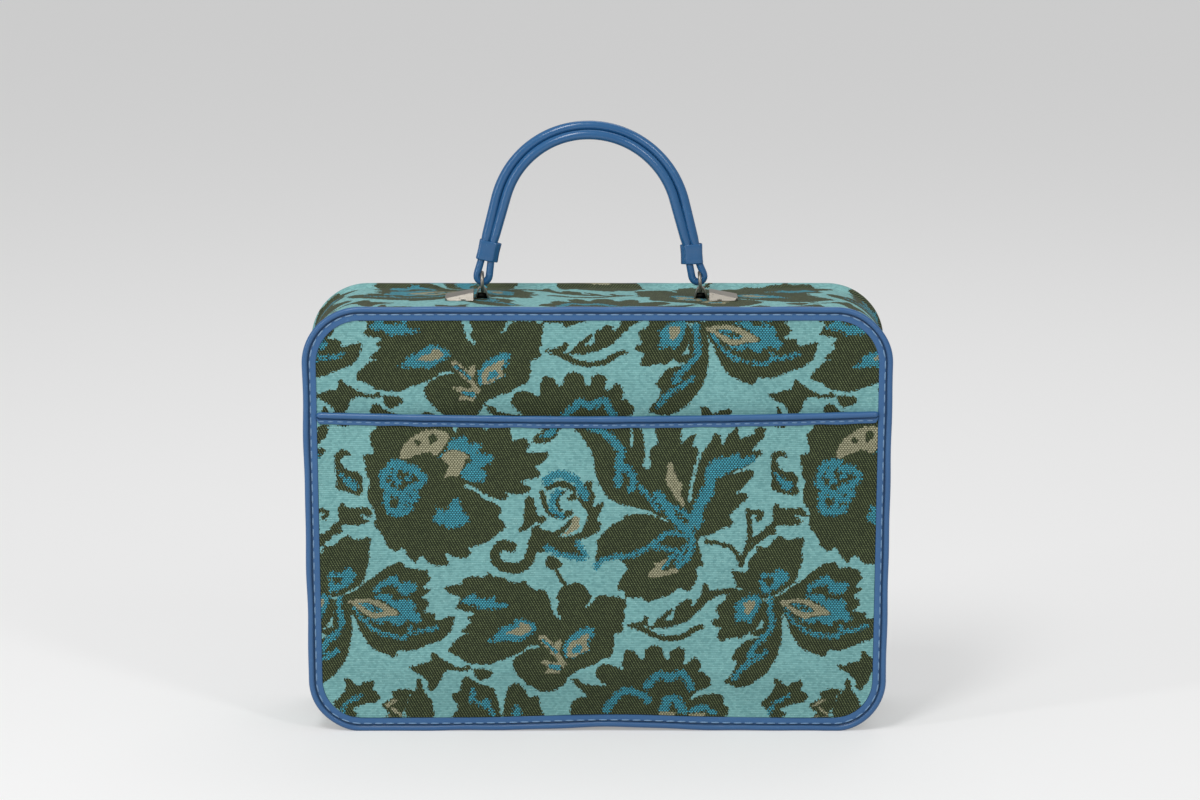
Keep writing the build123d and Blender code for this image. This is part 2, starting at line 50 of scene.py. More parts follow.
# Sizes of the case in millimetres, in the frame's own axes
case = {
    "width": 380.0, "height": 281.0, "shift": 3.025,
    "cornerTop": 38.0, "cornerFoot": 34.0, "flat": 0.15, "floorGap": 0.02,
    "frontFace": -50.3, "lidFace": 52.3, "gussetInset": 2.6,
}


# Shader sums: a wrapped socket that can be added, multiplied and compared
class Wire:
    def __init__(self, tree, socket=None):
        self.tree = tree
        self.socket = socket

    def make(self, kind, settings=None, values=None, out=0):
        node = self.tree.nodes.new(kind)
        for key, value in (settings or {}).items():
            if key == "stops":
                ramp = node.color_ramp.elements
                while len(ramp) < len(value):
                    ramp.new(0.5)
                for element, (place, colour) in zip(ramp, value):
                    element.position = place
                    element.color = colour
            else:
                setattr(node, key, value)
        for key, value in (values or {}).items():
            if isinstance(value, Wire):
                self.tree.links.new(value.socket, node.inputs[key])
            else:
                node.inputs[key].default_value = value
        return Wire(self.tree, node.outputs[out])

    def math(self, operation, *values):
        return self.make("ShaderNodeMath", {"operation": operation}, dict(enumerate(values)))

    def __add__(self, other):
        return self.math("ADD", self, other)

    def __radd__(self, other):
        return self.math("ADD", other, self)

    def __sub__(self, other):
        return self.math("SUBTRACT", self, other)

    def __rsub__(self, other):
        return self.math("SUBTRACT", other, self)

    def __mul__(self, other):
        return self.math("MULTIPLY", self, other)

    def __rmul__(self, other):
        return self.math("MULTIPLY", other, self)

    def __truediv__(self, other):
        return self.math("DIVIDE", self, other)

    def floor(self):
        return self.math("FLOOR", self)

    def fract(self):
        return self.math("FRACT", self)

    def clamp(self):
        return self.make("ShaderNodeClamp", {}, {"Value": self})

    def step(self, low, high):  # rises from 0 to 1 between two values
        return self.make("ShaderNodeMapRange", {"interpolation_type": "SMOOTHSTEP"},
                         {"Value": self, "From Min": low, "From Max": high})

    def mix(self, first, second):  # this wire picks between two colours
        return self.make("ShaderNodeMix", {"data_type": "RGBA"}, {0: self, 6: first, 7: second}, 2)

    def split(self):
        return [self.make("ShaderNodeSeparateXYZ", {}, {0: self}, axis) for axis in range(3)]

    def attribute(self, name):
        return self.make("ShaderNodeAttribute", {"attribute_name": name}, out=1)

    def bump(self, strength, deep):
        return self.make("ShaderNodeBump", {}, {"Height": self, "Strength": strength, "Distance": deep})

    def noise(self, scale, detail=3.0, rough=0.5):
        return self.make("ShaderNodeTexNoise", {}, {"Vector": self, "Scale": scale, "Detail": detail,
                                                    "Roughness": rough})


def tint(red, green, blue):  # a colour given as 0 to 255 values
    linear = []
    for value in (red / 255, green / 255, blue / 255):
        linear.append(value / 12.92 if value < 0.04045 else ((value + 0.055) / 1.055) ** 2.4)
    return (*linear, 1.0)


def newMaterial(name, **fixed):
    material = bpy.data.materials.new(name)
    material.use_nodes = True
    tree = material.node_tree
    shader = tree.nodes["Principled BSDF"]
    for key, value in fixed.items():
        shader.inputs[key.replace("_", " ")].default_value = value
    return material, Wire(tree), shader


def feed(wire, shader, **signals):
    for key, value in signals.items():
        wire.tree.links.new(value.socket, shader.inputs[key.replace("_", " ")])


# Brocade: the weave in millimetres, how ragged each colour's edge is, and the yarns
brocade = {
    "wide": 1.8, "high": 1.2, "slant": 0.36,
    "jag": 1.5, "turquoiseJag": 1.7, "beigeJag": 0.8, "edge": 0.1,
    "clouds": 0.03, "cloudShade": 0.24, "slub": (0.16, 1.0, 1.0), "relief": 0.45, "reliefDeep": 0.0004,
    "ground": tint(134, 188, 187), "groundDark": tint(86, 138, 140), "groundPale": tint(166, 214, 210),
    "olive": tint(33, 41, 26), "oliveFleck": tint(112, 124, 84),
    "turquoise": tint(84, 184, 206), "turquoiseDark": tint(26, 58, 62),
    "beige": tint(190, 188, 156), "beigeDark": tint(84, 84, 62),
}


def brocadeMaterial():
    material, wire, shader = newMaterial("brocade", Roughness=0.85, Specular_IOR_Level=0.22, Sheen_Weight=0.05)
    threads = wire.attribute("thread")
    across, along = threads.split()[:2]
    oliveDepth, turquoiseDepth, beigeDepth = wire.attribute("motif").split()
    pick = along / brocade["high"]
    row = pick.floor()
    rib = wire.math("SINE", pick.fract() * math.pi)
    straight = across / brocade["wide"] + row * 0.5
    slanted = across / brocade["wide"] + pick * brocade["slant"]

    def chance(column, seed):  # one random value for each yarn crossing
        cell = wire.make("ShaderNodeCombineXYZ", {}, {0: column.floor(), 1: row, 2: seed})
        return wire.make("ShaderNodeTexWhiteNoise", {}, {0: cell})

    def edged(depth, jag):
        return (depth + jag).step(-brocade["edge"], brocade["edge"])

    jag = (chance(across, 0.5) - 0.5) * brocade["jag"]
    luck = chance(straight, 2.5)
    olive = edged(oliveDepth, jag)
    turquoise = edged(turquoiseDepth, jag * brocade["turquoiseJag"])
    beige = edged(beigeDepth, jag * brocade["beigeJag"])
    twill = slanted.fract()
    fleck = twill.step(0.3, 0.45) * (1 - twill.step(0.72, 0.9)) * rib.step(0.25, 0.75)
    brick = straight.fract()
    dash = brick.step(0.08, 0.26) * (1 - brick.step(0.74, 0.94)) * rib.step(0.2, 0.65)
    slub = wire.make("ShaderNodeMapping", {}, {"Vector": threads, "Scale": brocade["slub"]}).noise(1.2, 2.0)
    # the ground is darker towards the edges of each weft row, painted shade in the gaps between the yarns, and
    # lighter or darker at random for each crossing
    level = (rib.step(0.1, 0.7) * 0.55 + luck * 0.55).clamp()
    ground = level.mix(brocade["groundDark"], brocade["ground"])
    ground = (slub.step(0.5, 0.75) * dash * 0.7).mix(ground, brocade["groundPale"])
    leaf = (fleck * (0.5 + luck * 0.5)).mix(brocade["olive"], brocade["oliveFleck"])
    bright = (dash * (0.72 + luck * 0.28)).mix(brocade["turquoiseDark"], brocade["turquoise"])
    pale = (dash * (0.7 + luck * 0.3)).mix(brocade["beigeDark"], brocade["beige"])
    colour = beige.mix(turquoise.mix(olive.mix(ground, leaf), bright), pale)
    shade = threads.noise(brocade["clouds"], 2.0) * brocade["cloudShade"] + (1 - brocade["cloudShade"] / 2)
    colour = wire.make("ShaderNodeVectorMath", {"operation": "SCALE"}, {0: colour, "Scale": shade})
    relief = rib * 0.4 + olive * 0.35 + fleck * olive * 0.6 + turquoise * dash * 0.7 + luck * 0.15
    feed(wire, shader, Base_Color=colour, Normal=relief.bump(brocade["relief"], brocade["reliefDeep"]))
    return material


# Vinyl, metal and cloth finishes: sizes of their clouds, scuffs and spots, how much each one shows, and the painted
# shade in the welts' grooves and inside the staples
vinyl = {"clouds": 34.0, "scuffs": 260.0, "wornShare": 0.35, "cloudShare": 0.25, "grooveShadeDark": 0.22,
         "grooveShadeShare": 0.75, "deep": 0.0004}
metal = {"brush": (1.0, 14.0, 14.0), "brushSize": 160.0, "spotSize": 420.0, "within": (0.012, 0.012, 0.011, 1.0),
         "withinShare": 0.9, "relief": 0.12, "deep": 0.0003}
woven = {"clouds": 24.0, "weaveShare": 0.6, "relief": 0.4, "deep": 0.0003}


def vinylMaterial(name, base, pale, rough, grain, depth):
    material, wire, shader = newMaterial(name, Roughness=rough, Specular_IOR_Level=0.55)
    place = wire.make("ShaderNodeTexCoord", {}, out=3)
    cloud = place.noise(vinyl["clouds"], 3.0)
    scuff = place.noise(vinyl["scuffs"], 4.0, 0.7)
    worn = scuff.step(0.56, 0.74) * cloud.step(0.4, 0.7)
    colour = (worn * vinyl["wornShare"] + cloud * vinyl["cloudShare"]).clamp().mix(base, pale)
    # painted shade: the welts are darker in the groove between roll and flange, read from their seam attribute
    grooveShade = wire.attribute("seam").split()[0]
    grooveShadeColour = tuple(value * vinyl["grooveShadeDark"] for value in base[:3]) + (1.0,)
    colour = (grooveShade * (vinyl["grooveShadeShare"] + scuff * 0.2)).mix(colour, grooveShadeColour)
    normal = (place.noise(grain, 2.0) + cloud * 2).bump(depth, vinyl["deep"])
    feed(wire, shader, Base_Color=colour, Normal=normal, Roughness=rough - 0.06 + scuff * 0.14 + worn * 0.1)
    return material


def metalMaterial(name, base, dark, rough):
    material, wire, shader = newMaterial(name, Metallic=1.0, Roughness=rough)
    place = wire.make("ShaderNodeTexCoord", {}, out=3)
    drawn = wire.make("ShaderNodeMapping", {}, {"Vector": place, "Scale": metal["brush"]})
    brushed = drawn.noise(metal["brushSize"], 3.0)
    spots = place.noise(metal["spotSize"], 4.0, 0.7).step(0.6, 0.72)
    colour = (spots * 0.6 + brushed * 0.25).clamp().mix(base, dark)
    # painted shade: near black on the inside of each staple's hoop and on the plate behind it, read from the seam
    # attribute
    within = wire.attribute("seam").split()[0]
    colour = (within * metal["withinShare"]).mix(colour, metal["within"])
    feed(wire, shader, Base_Color=colour, Normal=brushed.bump(metal["relief"], metal["deep"]),
         Roughness=rough - 0.05 + brushed * 0.15 + spots * 0.2)
    return material


def wovenMaterial(name, base, dark, pitch):  # plain cloth, from the object's own coordinates
    material, wire, shader = newMaterial(name, Roughness=0.9, Specular_IOR_Level=0.2, Sheen_Weight=0.1)
    place = wire.make("ShaderNodeTexCoord", {}, out=3)
    x, y, z = place.split()
    waves = [wire.math("SINE", axis * (math.tau / (pitch * mm))) for axis in (x + y, z)]
    weave = waves[0] * waves[1] * 0.5 + 0.5
    clouds = place.noise(woven["clouds"], 3.0) * (1 - woven["weaveShare"])
    colour = (weave * woven["weaveShare"] + clouds).clamp().mix(dark, base)
    feed(wire, shader, Base_Color=colour, Normal=weave.bump(woven["relief"], woven["deep"]))
    return material


looks = {
    "brocade": brocadeMaterial(),
    "trim": vinylMaterial("trimVinyl", tint(44, 92, 144), tint(90, 142, 188), 0.32, 2400.0, 0.16),
    "handle": vinylMaterial("handleVinyl", tint(34, 88, 138), tint(72, 132, 180), 0.20, 900.0, 0.06),
    "thread": wovenMaterial("stitchThread", tint(146, 180, 210), tint(98, 136, 178), 0.5),
    "nickel": metalMaterial("wornNickelPaintedShade", tint(158, 153, 144), tint(96, 90, 80), 0.42),
    "zipMetal": metalMaterial("zipMetal", tint(190, 190, 188), tint(110, 108, 100), 0.36),
    "steel": metalMaterial("plainSteel", tint(150, 150, 150), tint(96, 94, 90), 0.45),
    "tape": wovenMaterial("zipTape", tint(44, 78, 120), tint(22, 46, 78), 0.7),
    "lining": wovenMaterial("liningCloth", tint(116, 146, 158), tint(82, 112, 126), 0.6),
    "board": wovenMaterial("fibreboard", tint(150, 124, 92), tint(112, 90, 64), 1.7),
}
print("finishes made")

# How far each side of the front stands out, low and high, and how that fades along the gusset
taper = {"foot": -2.0, "top": 1.6, "gusset": -0.6, "front": -48.6, "fadeEnd": 50.0, "fadeOver": 98.0}


def splay(places):  # the front's sides lean out a little towards the top
    x, y, z = places[..., 0], places[..., 1], places[..., 2]
    reach = np.interp(z, [0, case["height"]], [taper["foot"], taper["top"]])
    fading = np.maximum(reach, taper["gusset"]) * np.clip((taper["fadeEnd"] - y) / taper["fadeOver"], 0, 1)
    moved = places.copy()
    moved[..., 0] += x / (case["width"] / 2) * np.where(y < taper["front"], reach, fading)
    return moved


# Surfaces made from a grid of points in millimetres, in the case's own axes
def surface(name, points, look, body, replaces=(), wrapRows=False, wrapColumns=False, signals=None,
            flip=False):
    rows, columns = points.shape[:2]
    index = np.arange(rows * columns).reshape(rows, columns)
    below = np.roll(index, -1, 0) if wrapRows else index[1:]
    first = index if wrapRows else index[:-1]
    quads = []
    for grid in (first, below):
        nextColumn = np.roll(grid, -1, 1)
        if not wrapColumns:
            grid, nextColumn = grid[:, :-1], nextColumn[:, :-1]
        quads.append((grid, nextColumn))
    faces = np.stack([quads[0][0], quads[0][1], quads[1][1], quads[1][0]], -1).reshape(-1, 4)
    if flip:
        faces = faces[:, ::-1]
    return meshObject(name, points.reshape(-1, 3), faces, look, body, replaces, signals)


def meshObject(name, places, faces, look, body, replaces=(), signals=None):
    if body == "case":
        places = splay(places)
    places = (places + [0, case["shift"], 0]) * mm
    mesh = bpy.data.meshes.new(name)
    mesh.vertices.add(len(places))
    mesh.vertices.foreach_set("co", places.astype(np.float32).ravel())
    sides = faces.shape[1]
    mesh.loops.add(faces.size)
    mesh.loops.foreach_set("vertex_index", faces.astype(np.int32).ravel())
    mesh.polygons.add(len(faces))
    mesh.polygons.foreach_set("loop_start", np.arange(0, faces.size, sides, dtype=np.int32))
    mesh.polygons.foreach_set("use_smooth", np.ones(len(faces), dtype=bool))
    mesh.update(calc_edges=True)
    mesh.validate()
    for key, values in (signals or {}).items():
        layer = mesh.attributes.new(key, "FLOAT_VECTOR", "POINT")
        layer.data.foreach_set("vector", values.astype(np.float32).ravel())
    piece = bpy.data.objects.new(name, mesh)
    bpy.context.scene.collection.objects.link(piece)
    mesh.materials.append(looks[look])
    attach(piece, body)
    if replaces:
        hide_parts(*replaces)
    return piece


def outline(step):  # the case's outer edge from the front: places, inward directions and distances run
    half, high, low = case["width"] / 2, case["height"], -case["flat"]
    top, foot = case["cornerTop"], case["cornerFoot"]
    corners = [(half - foot, low + foot, foot, 270), (half - top, high - top, top, 0),
               (top - half, high - top, top, 90), (foot - half, low + foot, foot, 180)]
    places = []
    inward = []

    def straightRun(begin, end):
        way = end - begin
        length = np.hypot(*way)
        count = max(2, int(length / step))
        for number in range(count):
            places.append(begin + way * number / count)
            inward.append(np.array([-way[1], way[0]]) / length)

    middle = np.array([0.0, low])
    last = middle
    for x, z, radius, start in corners:
        centre = np.array([x, z])
        turns = max(6, int(radius * math.pi / 2 / step))
        angles = math.radians(start) + math.pi / 2 * np.arange(turns + 1) / turns
        directions = np.stack([np.cos(angles), np.sin(angles)], -1)
        bend = centre + radius * directions
        straightRun(last, bend[0])
        places.extend(bend[:-1])
        inward.extend(-directions[:-1])
        last = bend[-1]
    straightRun(last, middle)
    places = np.array(places)
    run = np.concatenate([[0], np.cumsum(np.hypot(*(np.diff(places, axis=0).T)))])
    return places, np.array(inward), run


def sweepOutline(profile, step):  # profile rows are (inset, depth)
    places, inward, run = outline(step)
    inset, depth = np.array(profile).T
    x = places[:, 0, None] + inward[:, 0, None] * inset
    z = places[:, 1, None] + inward[:, 1, None] * inset
    return np.stack([x, np.broadcast_to(depth, x.shape), z], -1), places, inward, run


def pushIn(points, inward, distance):  # moves a swept surface towards the case's middle
    points[:, :, 0] += inward[:, 0, None] * distance
    points[:, :, 2] += inward[:, 1, None] * distance


def arc(centre, radius, start, end, count):
    angles = np.radians(np.linspace(start, end, count))
    return [(centre[0] + radius * math.cos(a), centre[1] + radius * math.sin(a)) for a in angles]


def halfWidth(z, inset):  # half the front's width at a height, inside its rounded corners
    z = np.asarray(z, float)
    top = case["cornerTop"] - inset
    foot = case["cornerFoot"] - inset
    overTop = np.clip(z - (case["height"] - inset - top), 0, top)
    underFoot = np.clip(inset - case["flat"] + foot - z, 0, foot)
    narrowed = top - np.sqrt(top ** 2 - overTop ** 2) + foot - np.sqrt(foot ** 2 - underFoot ** 2)
    return case["width"] / 2 - inset - narrowed


# The woven flowers, drawn in millimetres over the pocket: kind, stroke width (0 fills) and points
tile = {"width": 282.0, "height": 222.0, "low": -8.0, "cell": 0.5, "reach": 3.0}
motifs = [
    ("olive", 0, "-143 204 -142 200 -147 197 -147 192 -145 187 -144 184 -152 183 -150 176 -150 170 -147 166 "
     "-149 160 -149 155 -147.5 152 -145 148 -144 143 -145 140 -144 136 -141 133 -139 130 -138 126 -136 123 "
     "-132 120 -130 121 -127 123 -125 121 -124 117 -121 115 -119 112 -117 115 -115 118 -112 116 -110 113 "
     "-106 111 -102 111 -96 112 -97 115 -100 119 -97 119 -93 117 -88 116 -83 118 -82 121 -85 123 -80 124 "
     "-73 127 -68 129 -66 132 -62 135 -59 137 -61 141 -64 143 -63 146 -62 150 -66 153 -74 156 -80 161 "
     "-87 163.5 -84 165 -78 162 -72 158 -66 155.5 -60 155 -57 157 -60 160 -55 159 -50 158 -45 160 -42 163 "
     "-47 165 -50 167 -45 168 -39 169 -36 171 -38 174 -41 176 -36 179 -32 183 -31 187 -38 185.5 -47 186 "
     "-43 190 -45 193 -47 195 -51 193.5 -55 193 -56 198 -57 203 -62 209 -75 212 -95 212 -115 212 -135 210"),
    ("bare", 0, "-95 204 -93 201 -91 197 -90 201 -88 204"),
    ("bare", 0, "-73 204 -74 199 -70 201 -66 204"),
    ("olive", 0, "-43 192 -36 191 -30 193 -26 196 -25 200 -20 203 -18 208 -30 210 -40 207 -45 203 -32 200 -39 198"),
    ("turquoise", 0, "-38 195 -33 194 -28 197 -26 203 -28 204 -32 199"),
    ("turquoise", 5, "-126 177 -132 178 -138 172 -139 165 -135 161 -131 159"),
    ("turquoise", 4.5, "-130 176 -132 170 -129 166"),
    ("turquoise", 4.5, "-124 174 -120 175 -115 172 -112 168 -116 164 -122 162 -125 160"),
    ("turquoise", 3, "-121 171 -123 168"),
    ("turquoise", 5, "-135 160 -137 154 -136 148 -130 146 -124 147 -122 149"),
    ("turquoise", 4, "-130 158 -126 156 -127 150 -130 147"),
    ("turquoise", 4.5, "-125 156 -120 154 -117 158 -121 160"),
    ("turquoise", 0, "-105 151 -102 150 -100 147 -98 147 -96 151 -93 156 -89 155 -88 150 -86 146 -83 144 "
     "-84 140 -89 138 -95 136 -100 138 -106 140 -107 143 -104 145"),
    ("beige", 0, "-128 180 -127 185 -125 190 -119 195 -112 199 -104 200 -98 198 -95 196 -97 191 -101 186 "
     "-105 182 -108 185 -112 185 -118 183 -122 181"),
    ("core", 4, "-116 191 -116.1 191"),
    ("core", 5.6, "-106 194 -106.1 194"), ("core", 2.4, "-107.5 191 -107.6 191"),
    ("turquoise", 0, "-105 181 -100 184 -96 188 -96 193 -90 194 -86 196 -83 194 -85 191 -78 191 -74 190 "
     "-76 187 -78 185 -70 184 -66 182 -70 178 -76 176 -72 173 -72 169 -75 166 -82 167 -87 169 -90 172 "
     "-87 176 -84 178 -80 180 -83 183 -86 186 -93 187 -99 184"),
    ("beige", 0, "-101 181 -99 185 -93 187 -86 185 -82 183 -86 180 -86 177 -88 174 -90 170 -95 170 -101 167 "
     "-98 171 -96 177 -99 180"),
    # the swirl
    ("turquoise", 5.5, "-33 167 -29 171 -22 172 -15 169 -11 164 -8 158"),
    ("olive", 4, "-32 163 -26 166 -20 165 -15 162"),
    ("turquoise", 4, "-25 161 -29 157 -30 151 -27 147 -23 145"),
    ("olive", 4, "-36 160 -35 155 -33 149 -28 145 -22 144 -18 147"),
    ("olive", 3, "-22 160 -26 158 -26 152 -24 148"),
    ("olive", 0, "-21 155 -17 159 -12 159 -14 155"),
    ("olive", 0, "-9 167 -2 168 -4 162 -1 158 -3 154 -3 150 0 153 6 154 2 148 0 142 3 140 1 135 -4 131 -14 129 "
     "-20 131 -14 133 -10 135 -8 140 -6 145 -8 149 -11 152 -13 156"),
    ("olive", 0, "-14 133 -20 131 -26 131 -20 135 -16 140 -14 145 -18 143 -23 137 -28 134 -34 135 -39 139 "
     "-43 137 -42 133 -45 129 -45 124 -41 121 -36 120 -31 122 -25 119 -18 117 -10 115 -7 118 -10 122 -14 127 "
     "-8 130"),
    ("olive", 0, "-47 156 -44 159 -41 155 -40 150 -39 145 -34 145 -33 141 -36 139 -40 141 -43 137 -46 135 "
     "-52 134 -50 137 -48 141 -48 148"),
    ("beige", 0, "-25 131 -20 132 -14 135 -11 139 -12 144 -15 145 -17 140 -20 134"),
    ("turquoise", 3.5, "-33 124 -25 119 -17 118 -10 116"), ("turquoise", 3.5, "-13 127 -9 121 -8 117"),
    # the curl and its bud
    ("olive", 7, "-56 124 -62 126 -67 121 -66 114 -59 110 -51 110 -45 114 -43 121 -42 126"),
    ("olive", 0, "-33 118 -34 111 -30 109 -26 110 -22 112 -25 116 -30 119"),
    ("olive", 3, "-27 109 -25 104 -21 99.5"),
    # the star leaf
    ("olive", 0, "-18 203 -18 212 55 212 55 203 54 197 54 190 57 195 62 197 64 197 62 192 61 189 66 189 68 184 "
     "69 187 72 191 74 194 76 198 79 197 80 193 81 189 83 195 87 199 90 202 91 197 92 193 97 195 103 198 107 201 "
     "109 200 107 194 103 190 99 185 104 187 107 185 103 181 99 177 92 174 86 171 90 172 98 174 102 172 98 167 "
     "94 162 89 159 95 159 99 157 94 153 90 149 85 144 88 142 89 138 80 136 72 131 66 131 65 128 67 122 68 116 "
     "70 111 64 110 65 105 64 100 62 97 60 94 57 95 54 97 50 94 45 91 42 91 38 89 31 87 30 91 24 90 17 91 18 95 "
     "12 96 14 101 17 106 20 111 17 113 14 116 9 115.5 3 114 -2 113 -1 119 0 123 -1 127 1 131 4 134 8 138 13 141 "
     "17 143 16 145 25 146 33 146.5 40 143 46 140.5 46 141 40 144 34 148 27 149.5 20 151 14 153 8 155 4 160 "
     "1 165 -1 170 -2 176 -3 183 -5 188 -8 192 -11 197 -15 200"),
    ("bare", 2, "67 188 66 183 63 175 61 165 60 155"), ("bare", 1.5, "22 190 22 203"),
    ("bare", 0, "27 204 30 195 31 185 30 180 29 177 34 174 34 180 33 187 36 190 40 189 38 194 37 204"),
    ("turquoise", 5, "-5 202 2 200 8 196 13 190 16 187 14 180 14 172 13.5 166"),
    ("turquoise", 4.5, "14 175 20 176 23 170 22 162"), ("turquoise", 3, "23 168 28 163 34 156 40 148"),
    ("turquoise", 5.5, "39 159 44 152 48 145 53 139 60 133"),
    ("turquoise", 3.5, "44 152 50 150 56 147 60 143 62 136"),
    ("turquoise", 0, "60 146 63 153 66 160 69 164 70 170 70 175 74 180 79 183 84 181 89 184 93 184 92 181 97 182 "
     "102 183 103 181 98 177 90 175 84 171 78 170 76 165 75 158 72 154 69 150 68 143 69 140 66 136 64 135 62 140"),
    ("turquoise", 3.5, "59 131 50 133.5 43 132.5 38 127 30 122 20 118 10 118 0 114 -1 111"),
    ("turquoise", 3, "37 124 45 123 52 121"), ("turquoise", 4, "61 131 61 123 58 116 53 112"),
    ("turquoise", 3, "52 121 48 117 42 110"), ("turquoise", 3, "60 126 55 121 52 113"),
    ("beige", 0, "46 180 45 175 44 168 47 162 51 156 55 151 57 152 54 158 55 167 52 167 50 173 49 178"),
    ("beige", 0, "32 104 35 109 39 110 36 114 41 114 47 118 44 113 40 109 45 108 50 110.5 54 107 50 107 44 105 "
     "38 104"),
    # the hook leaf and the bits beside it
    ("olive", 0, "-170 183 -167 185.5 -163 186 -160 184 -159 181 -162 182 -166 181 -166 178 -163 174 -160 172 "
     "-157 173 -154 171 -151 168 -153 165 -151 160 -154 157 -160 158 -166 160 -170 161 -169 165 -170 172 -170 180"),
    ("turquoise", 0, "-168 172 -165 171 -161 168 -157 166 -155 163 -157 160 -161 161 -164 165"),
    ("olive", 0, "-181 201 -174 201 -175 196 -181 190"), ("olive", 0, "-170 204 -160 204 -161 200 -168 201"),
    # the sprig and its stems
    ("olive", 0, "-169 149 -167 152.5 -164.5 152 -163 149 -156 149 -150 150 -146 147 -146 143 -149 143.5 -154 145 "
     "-152 142 -148 140.5 -150 138.5 -157 137.5 -163 138 -168 137 -168 143"),
    ("olive", 4, "-167 139 -172 134 -178 130 -184 127"),
    ("olive", 3.5, "93 112 95 117 97 122 99 128 99 135 98 142 98 148"),
    ("olive", 3.5, "100 147 104 147 107 146 104 142"), ("olive", 3.5, "101 128 107 131 112 133 115 134"),
    ("olive", 3, "96 119 101 125 108 130"), ("olive", 4, "111 136 118 141 122 144"),
    ("olive", 3.2, "71 128 80 126 87 124 91 119 94 113"),
    # the round leaf with a rosette
    ("olive", 0, "86 110 91 108 95 107 99 109 98 113 100 117 103 120 104 124 107 123.5 111 124 114 128 119 131.5 "
     "123 129 126 128 131 130 135 129.5 134 124 133 119 134 115 132 109 131 104 128 99 122 95 117 92 113 90 "
     "108 90 104 91 91 97 90 100 88 105"),
    ("turquoise", 0, "106 100 107 107 113 105 120 110 123 106 125 104 121 98 115 95 109 92 107 95"),
    ("core", 6, "112 101 112.1 101"),
    # the tulip
    ("olive", 0, "-170 90 -160 93 -155 97 -148 102 -141 108 -134 112 -127 114 -125 109 -119 110 -115 108 -111 109 "
     "-110 104 -108 103 -111 100 -114 96 -110 96 -108 95 -112 92 -115 90 -111 88 -110 85 -113 82 -115 80.5 "
     "-110 80 -106 79 -107 75 -101 76 -96 78 -93 78 -94 74 -95 70 -97 66 -103 61 -110 59 -117 56 -122 54 "
     "-131 54.5 -132 50 -135 50 -140 52 -147 55 -151 59 -154 64 -157 70 -158 75 -161 79 -164 85 -166 88"),
    ("turquoise", 0, "-147 92 -145 97 -141 100 -136 103 -131 105 -130 101 -127 100 -120 100 -118 97 -121 93 "
     "-127 91 -130 93 -131 97 -136 98 -139 97 -143 94"),
    ("turquoise", 0, "-147 90 -140 92 -135 92 -133 88 -127 88.5 -122 88 -119 85 -120 81 -117 79 -115 75 -119 73 "
     "-123 75 -127 74 -129 71 -134 72 -137 75 -141 72 -147 74 -150 77 -147 75.5 -143 76 -136 78 -131 78 -129 79 "
     "-131 81 -136 85 -141 88"),
    ("turquoise", 2.5, "-158 85 -158 80 -154 75 -150 71 -145 67 -139 65"),
    ("turquoise", 2.5, "-139 65 -133 64 -126 63 -123 66 -122 70"), ("turquoise", 2.5, "-120 67 -112 68 -106 70"),
    ("beige", 0, "-165 87 -158 88.5 -150 89 -144 88 -138 85 -133 82 -129 79 -133 77.5 -140 77.5 -145 75.5 "
     "-149 76.5 -154 80 -159 84"),
    ("over", 0, "-158 86 -150 86.5 -144 84 -139 81 -143 79 -148 80 -153 83"),
    ("core", 0, "-154 84.5 -147 84 -141 81.5 -146 80.5"),
    ("olive", 0, "84 92 83 88 79 86 77 83 79 79 80 77 76 76 74 74 77 71 81 71 79 67 78 63 82 61 86 63 90 64 "
     "94 62.5 98 66 104 69 108 75 110 82 109 90 100 94 91 96"),
    ("turquoise", 0, "90 74 91 80 89 84 93 88 98 91 104 92 107 90 106 85 104 80 102 76 100 73 97 75 94 75 92 73"),
    ("beige", 0, "95 87 100 88 104 88 102 83 99 79 96 80 97 83"),
    ("olive", 0, "110 90 117 90 120 84 121 78 121 70 121 62 119 55 117 48 113 43 110 38 104 34 98 30 92 29.5 "
     "89 31 86 32 83 32 85 36 88 38 90 43 92 47 88 49 88 51 90 54 93 58 97 61 104 63 106 64 101 65 99 67 104 69 "
     "109 70 108 75"),
    ("turquoise", 3.5, "113 89 113 80 115 73 113 68 107 62 102 57 100 52"),
    ("turquoise", 3, "111 54 107 51 100 47 94 42 90 36"), ("turquoise", 2, "101 52 108 52"),
    # the cluster with a lily
    ("olive", 0, "-100 97 -95 98 -88 99.5 -87 104 -80 104.5 -73 104 -71 108 -69 104.5 -62 104 -57 101 -52 100 "
     "-47 102 -44 98 -41 95 -36 96 -33 94 -31 90 -30 84 -28 79 -25 76 -23 77 -26 80 -27 84 -25 87 -27 90 -26 94 "
     "-23 98 -17 100 -12 100.5 -8 99 -6 94 -3 92 -5 88 -8 84 -5 85 -3 89 1 92 8 92 14 91 18 90 19 86 17 81 18 77 "
     "16 73 18 69 16 67 10 66 11 60 10 54 8 50 2 49 0 46 -6 44 -11 42 -15 40 -18 38 -20 34 -23 30 -28 27 -33 26 "
     "-40 27 -43 30 -47 32 -49 35 -53 39 -55 42 -56 47 -53 51 -48 55 -42 57 -36 57 -41 59 -45 58 -49 54 -54 52 "
     "-59 50 -65 48 -72 45 -79 46 -85 46 -91 51 -98 53 -97 57 -93 62 -88 66 -84 66 -90 67 -86 71 -82 74 -86 77 "
     "-80 80 -92 82 -93 84 -90 87 -90 91 -95 92 -99 94"),
    ("turquoise", 0, "-90 87 -86 90 -80 94 -79 90 -72 89 -66 92 -67 88 -62 86 -57 86 -60 84 -68 83 -77 82 "
     "-79 85 -85 86"),
    ("turquoise", 0, "-73 61 -68 63 -65 69 -60 71 -55 73 -53 76 -48 76 -43 74 -39 70 -42 67 -47 64 -51 61 "
     "-58 62 -66 61"),
    ("beige", 0, "-61 66 -56 69 -51 71 -51 74 -46 73 -43 70 -46 67 -51 65 -57 66"),
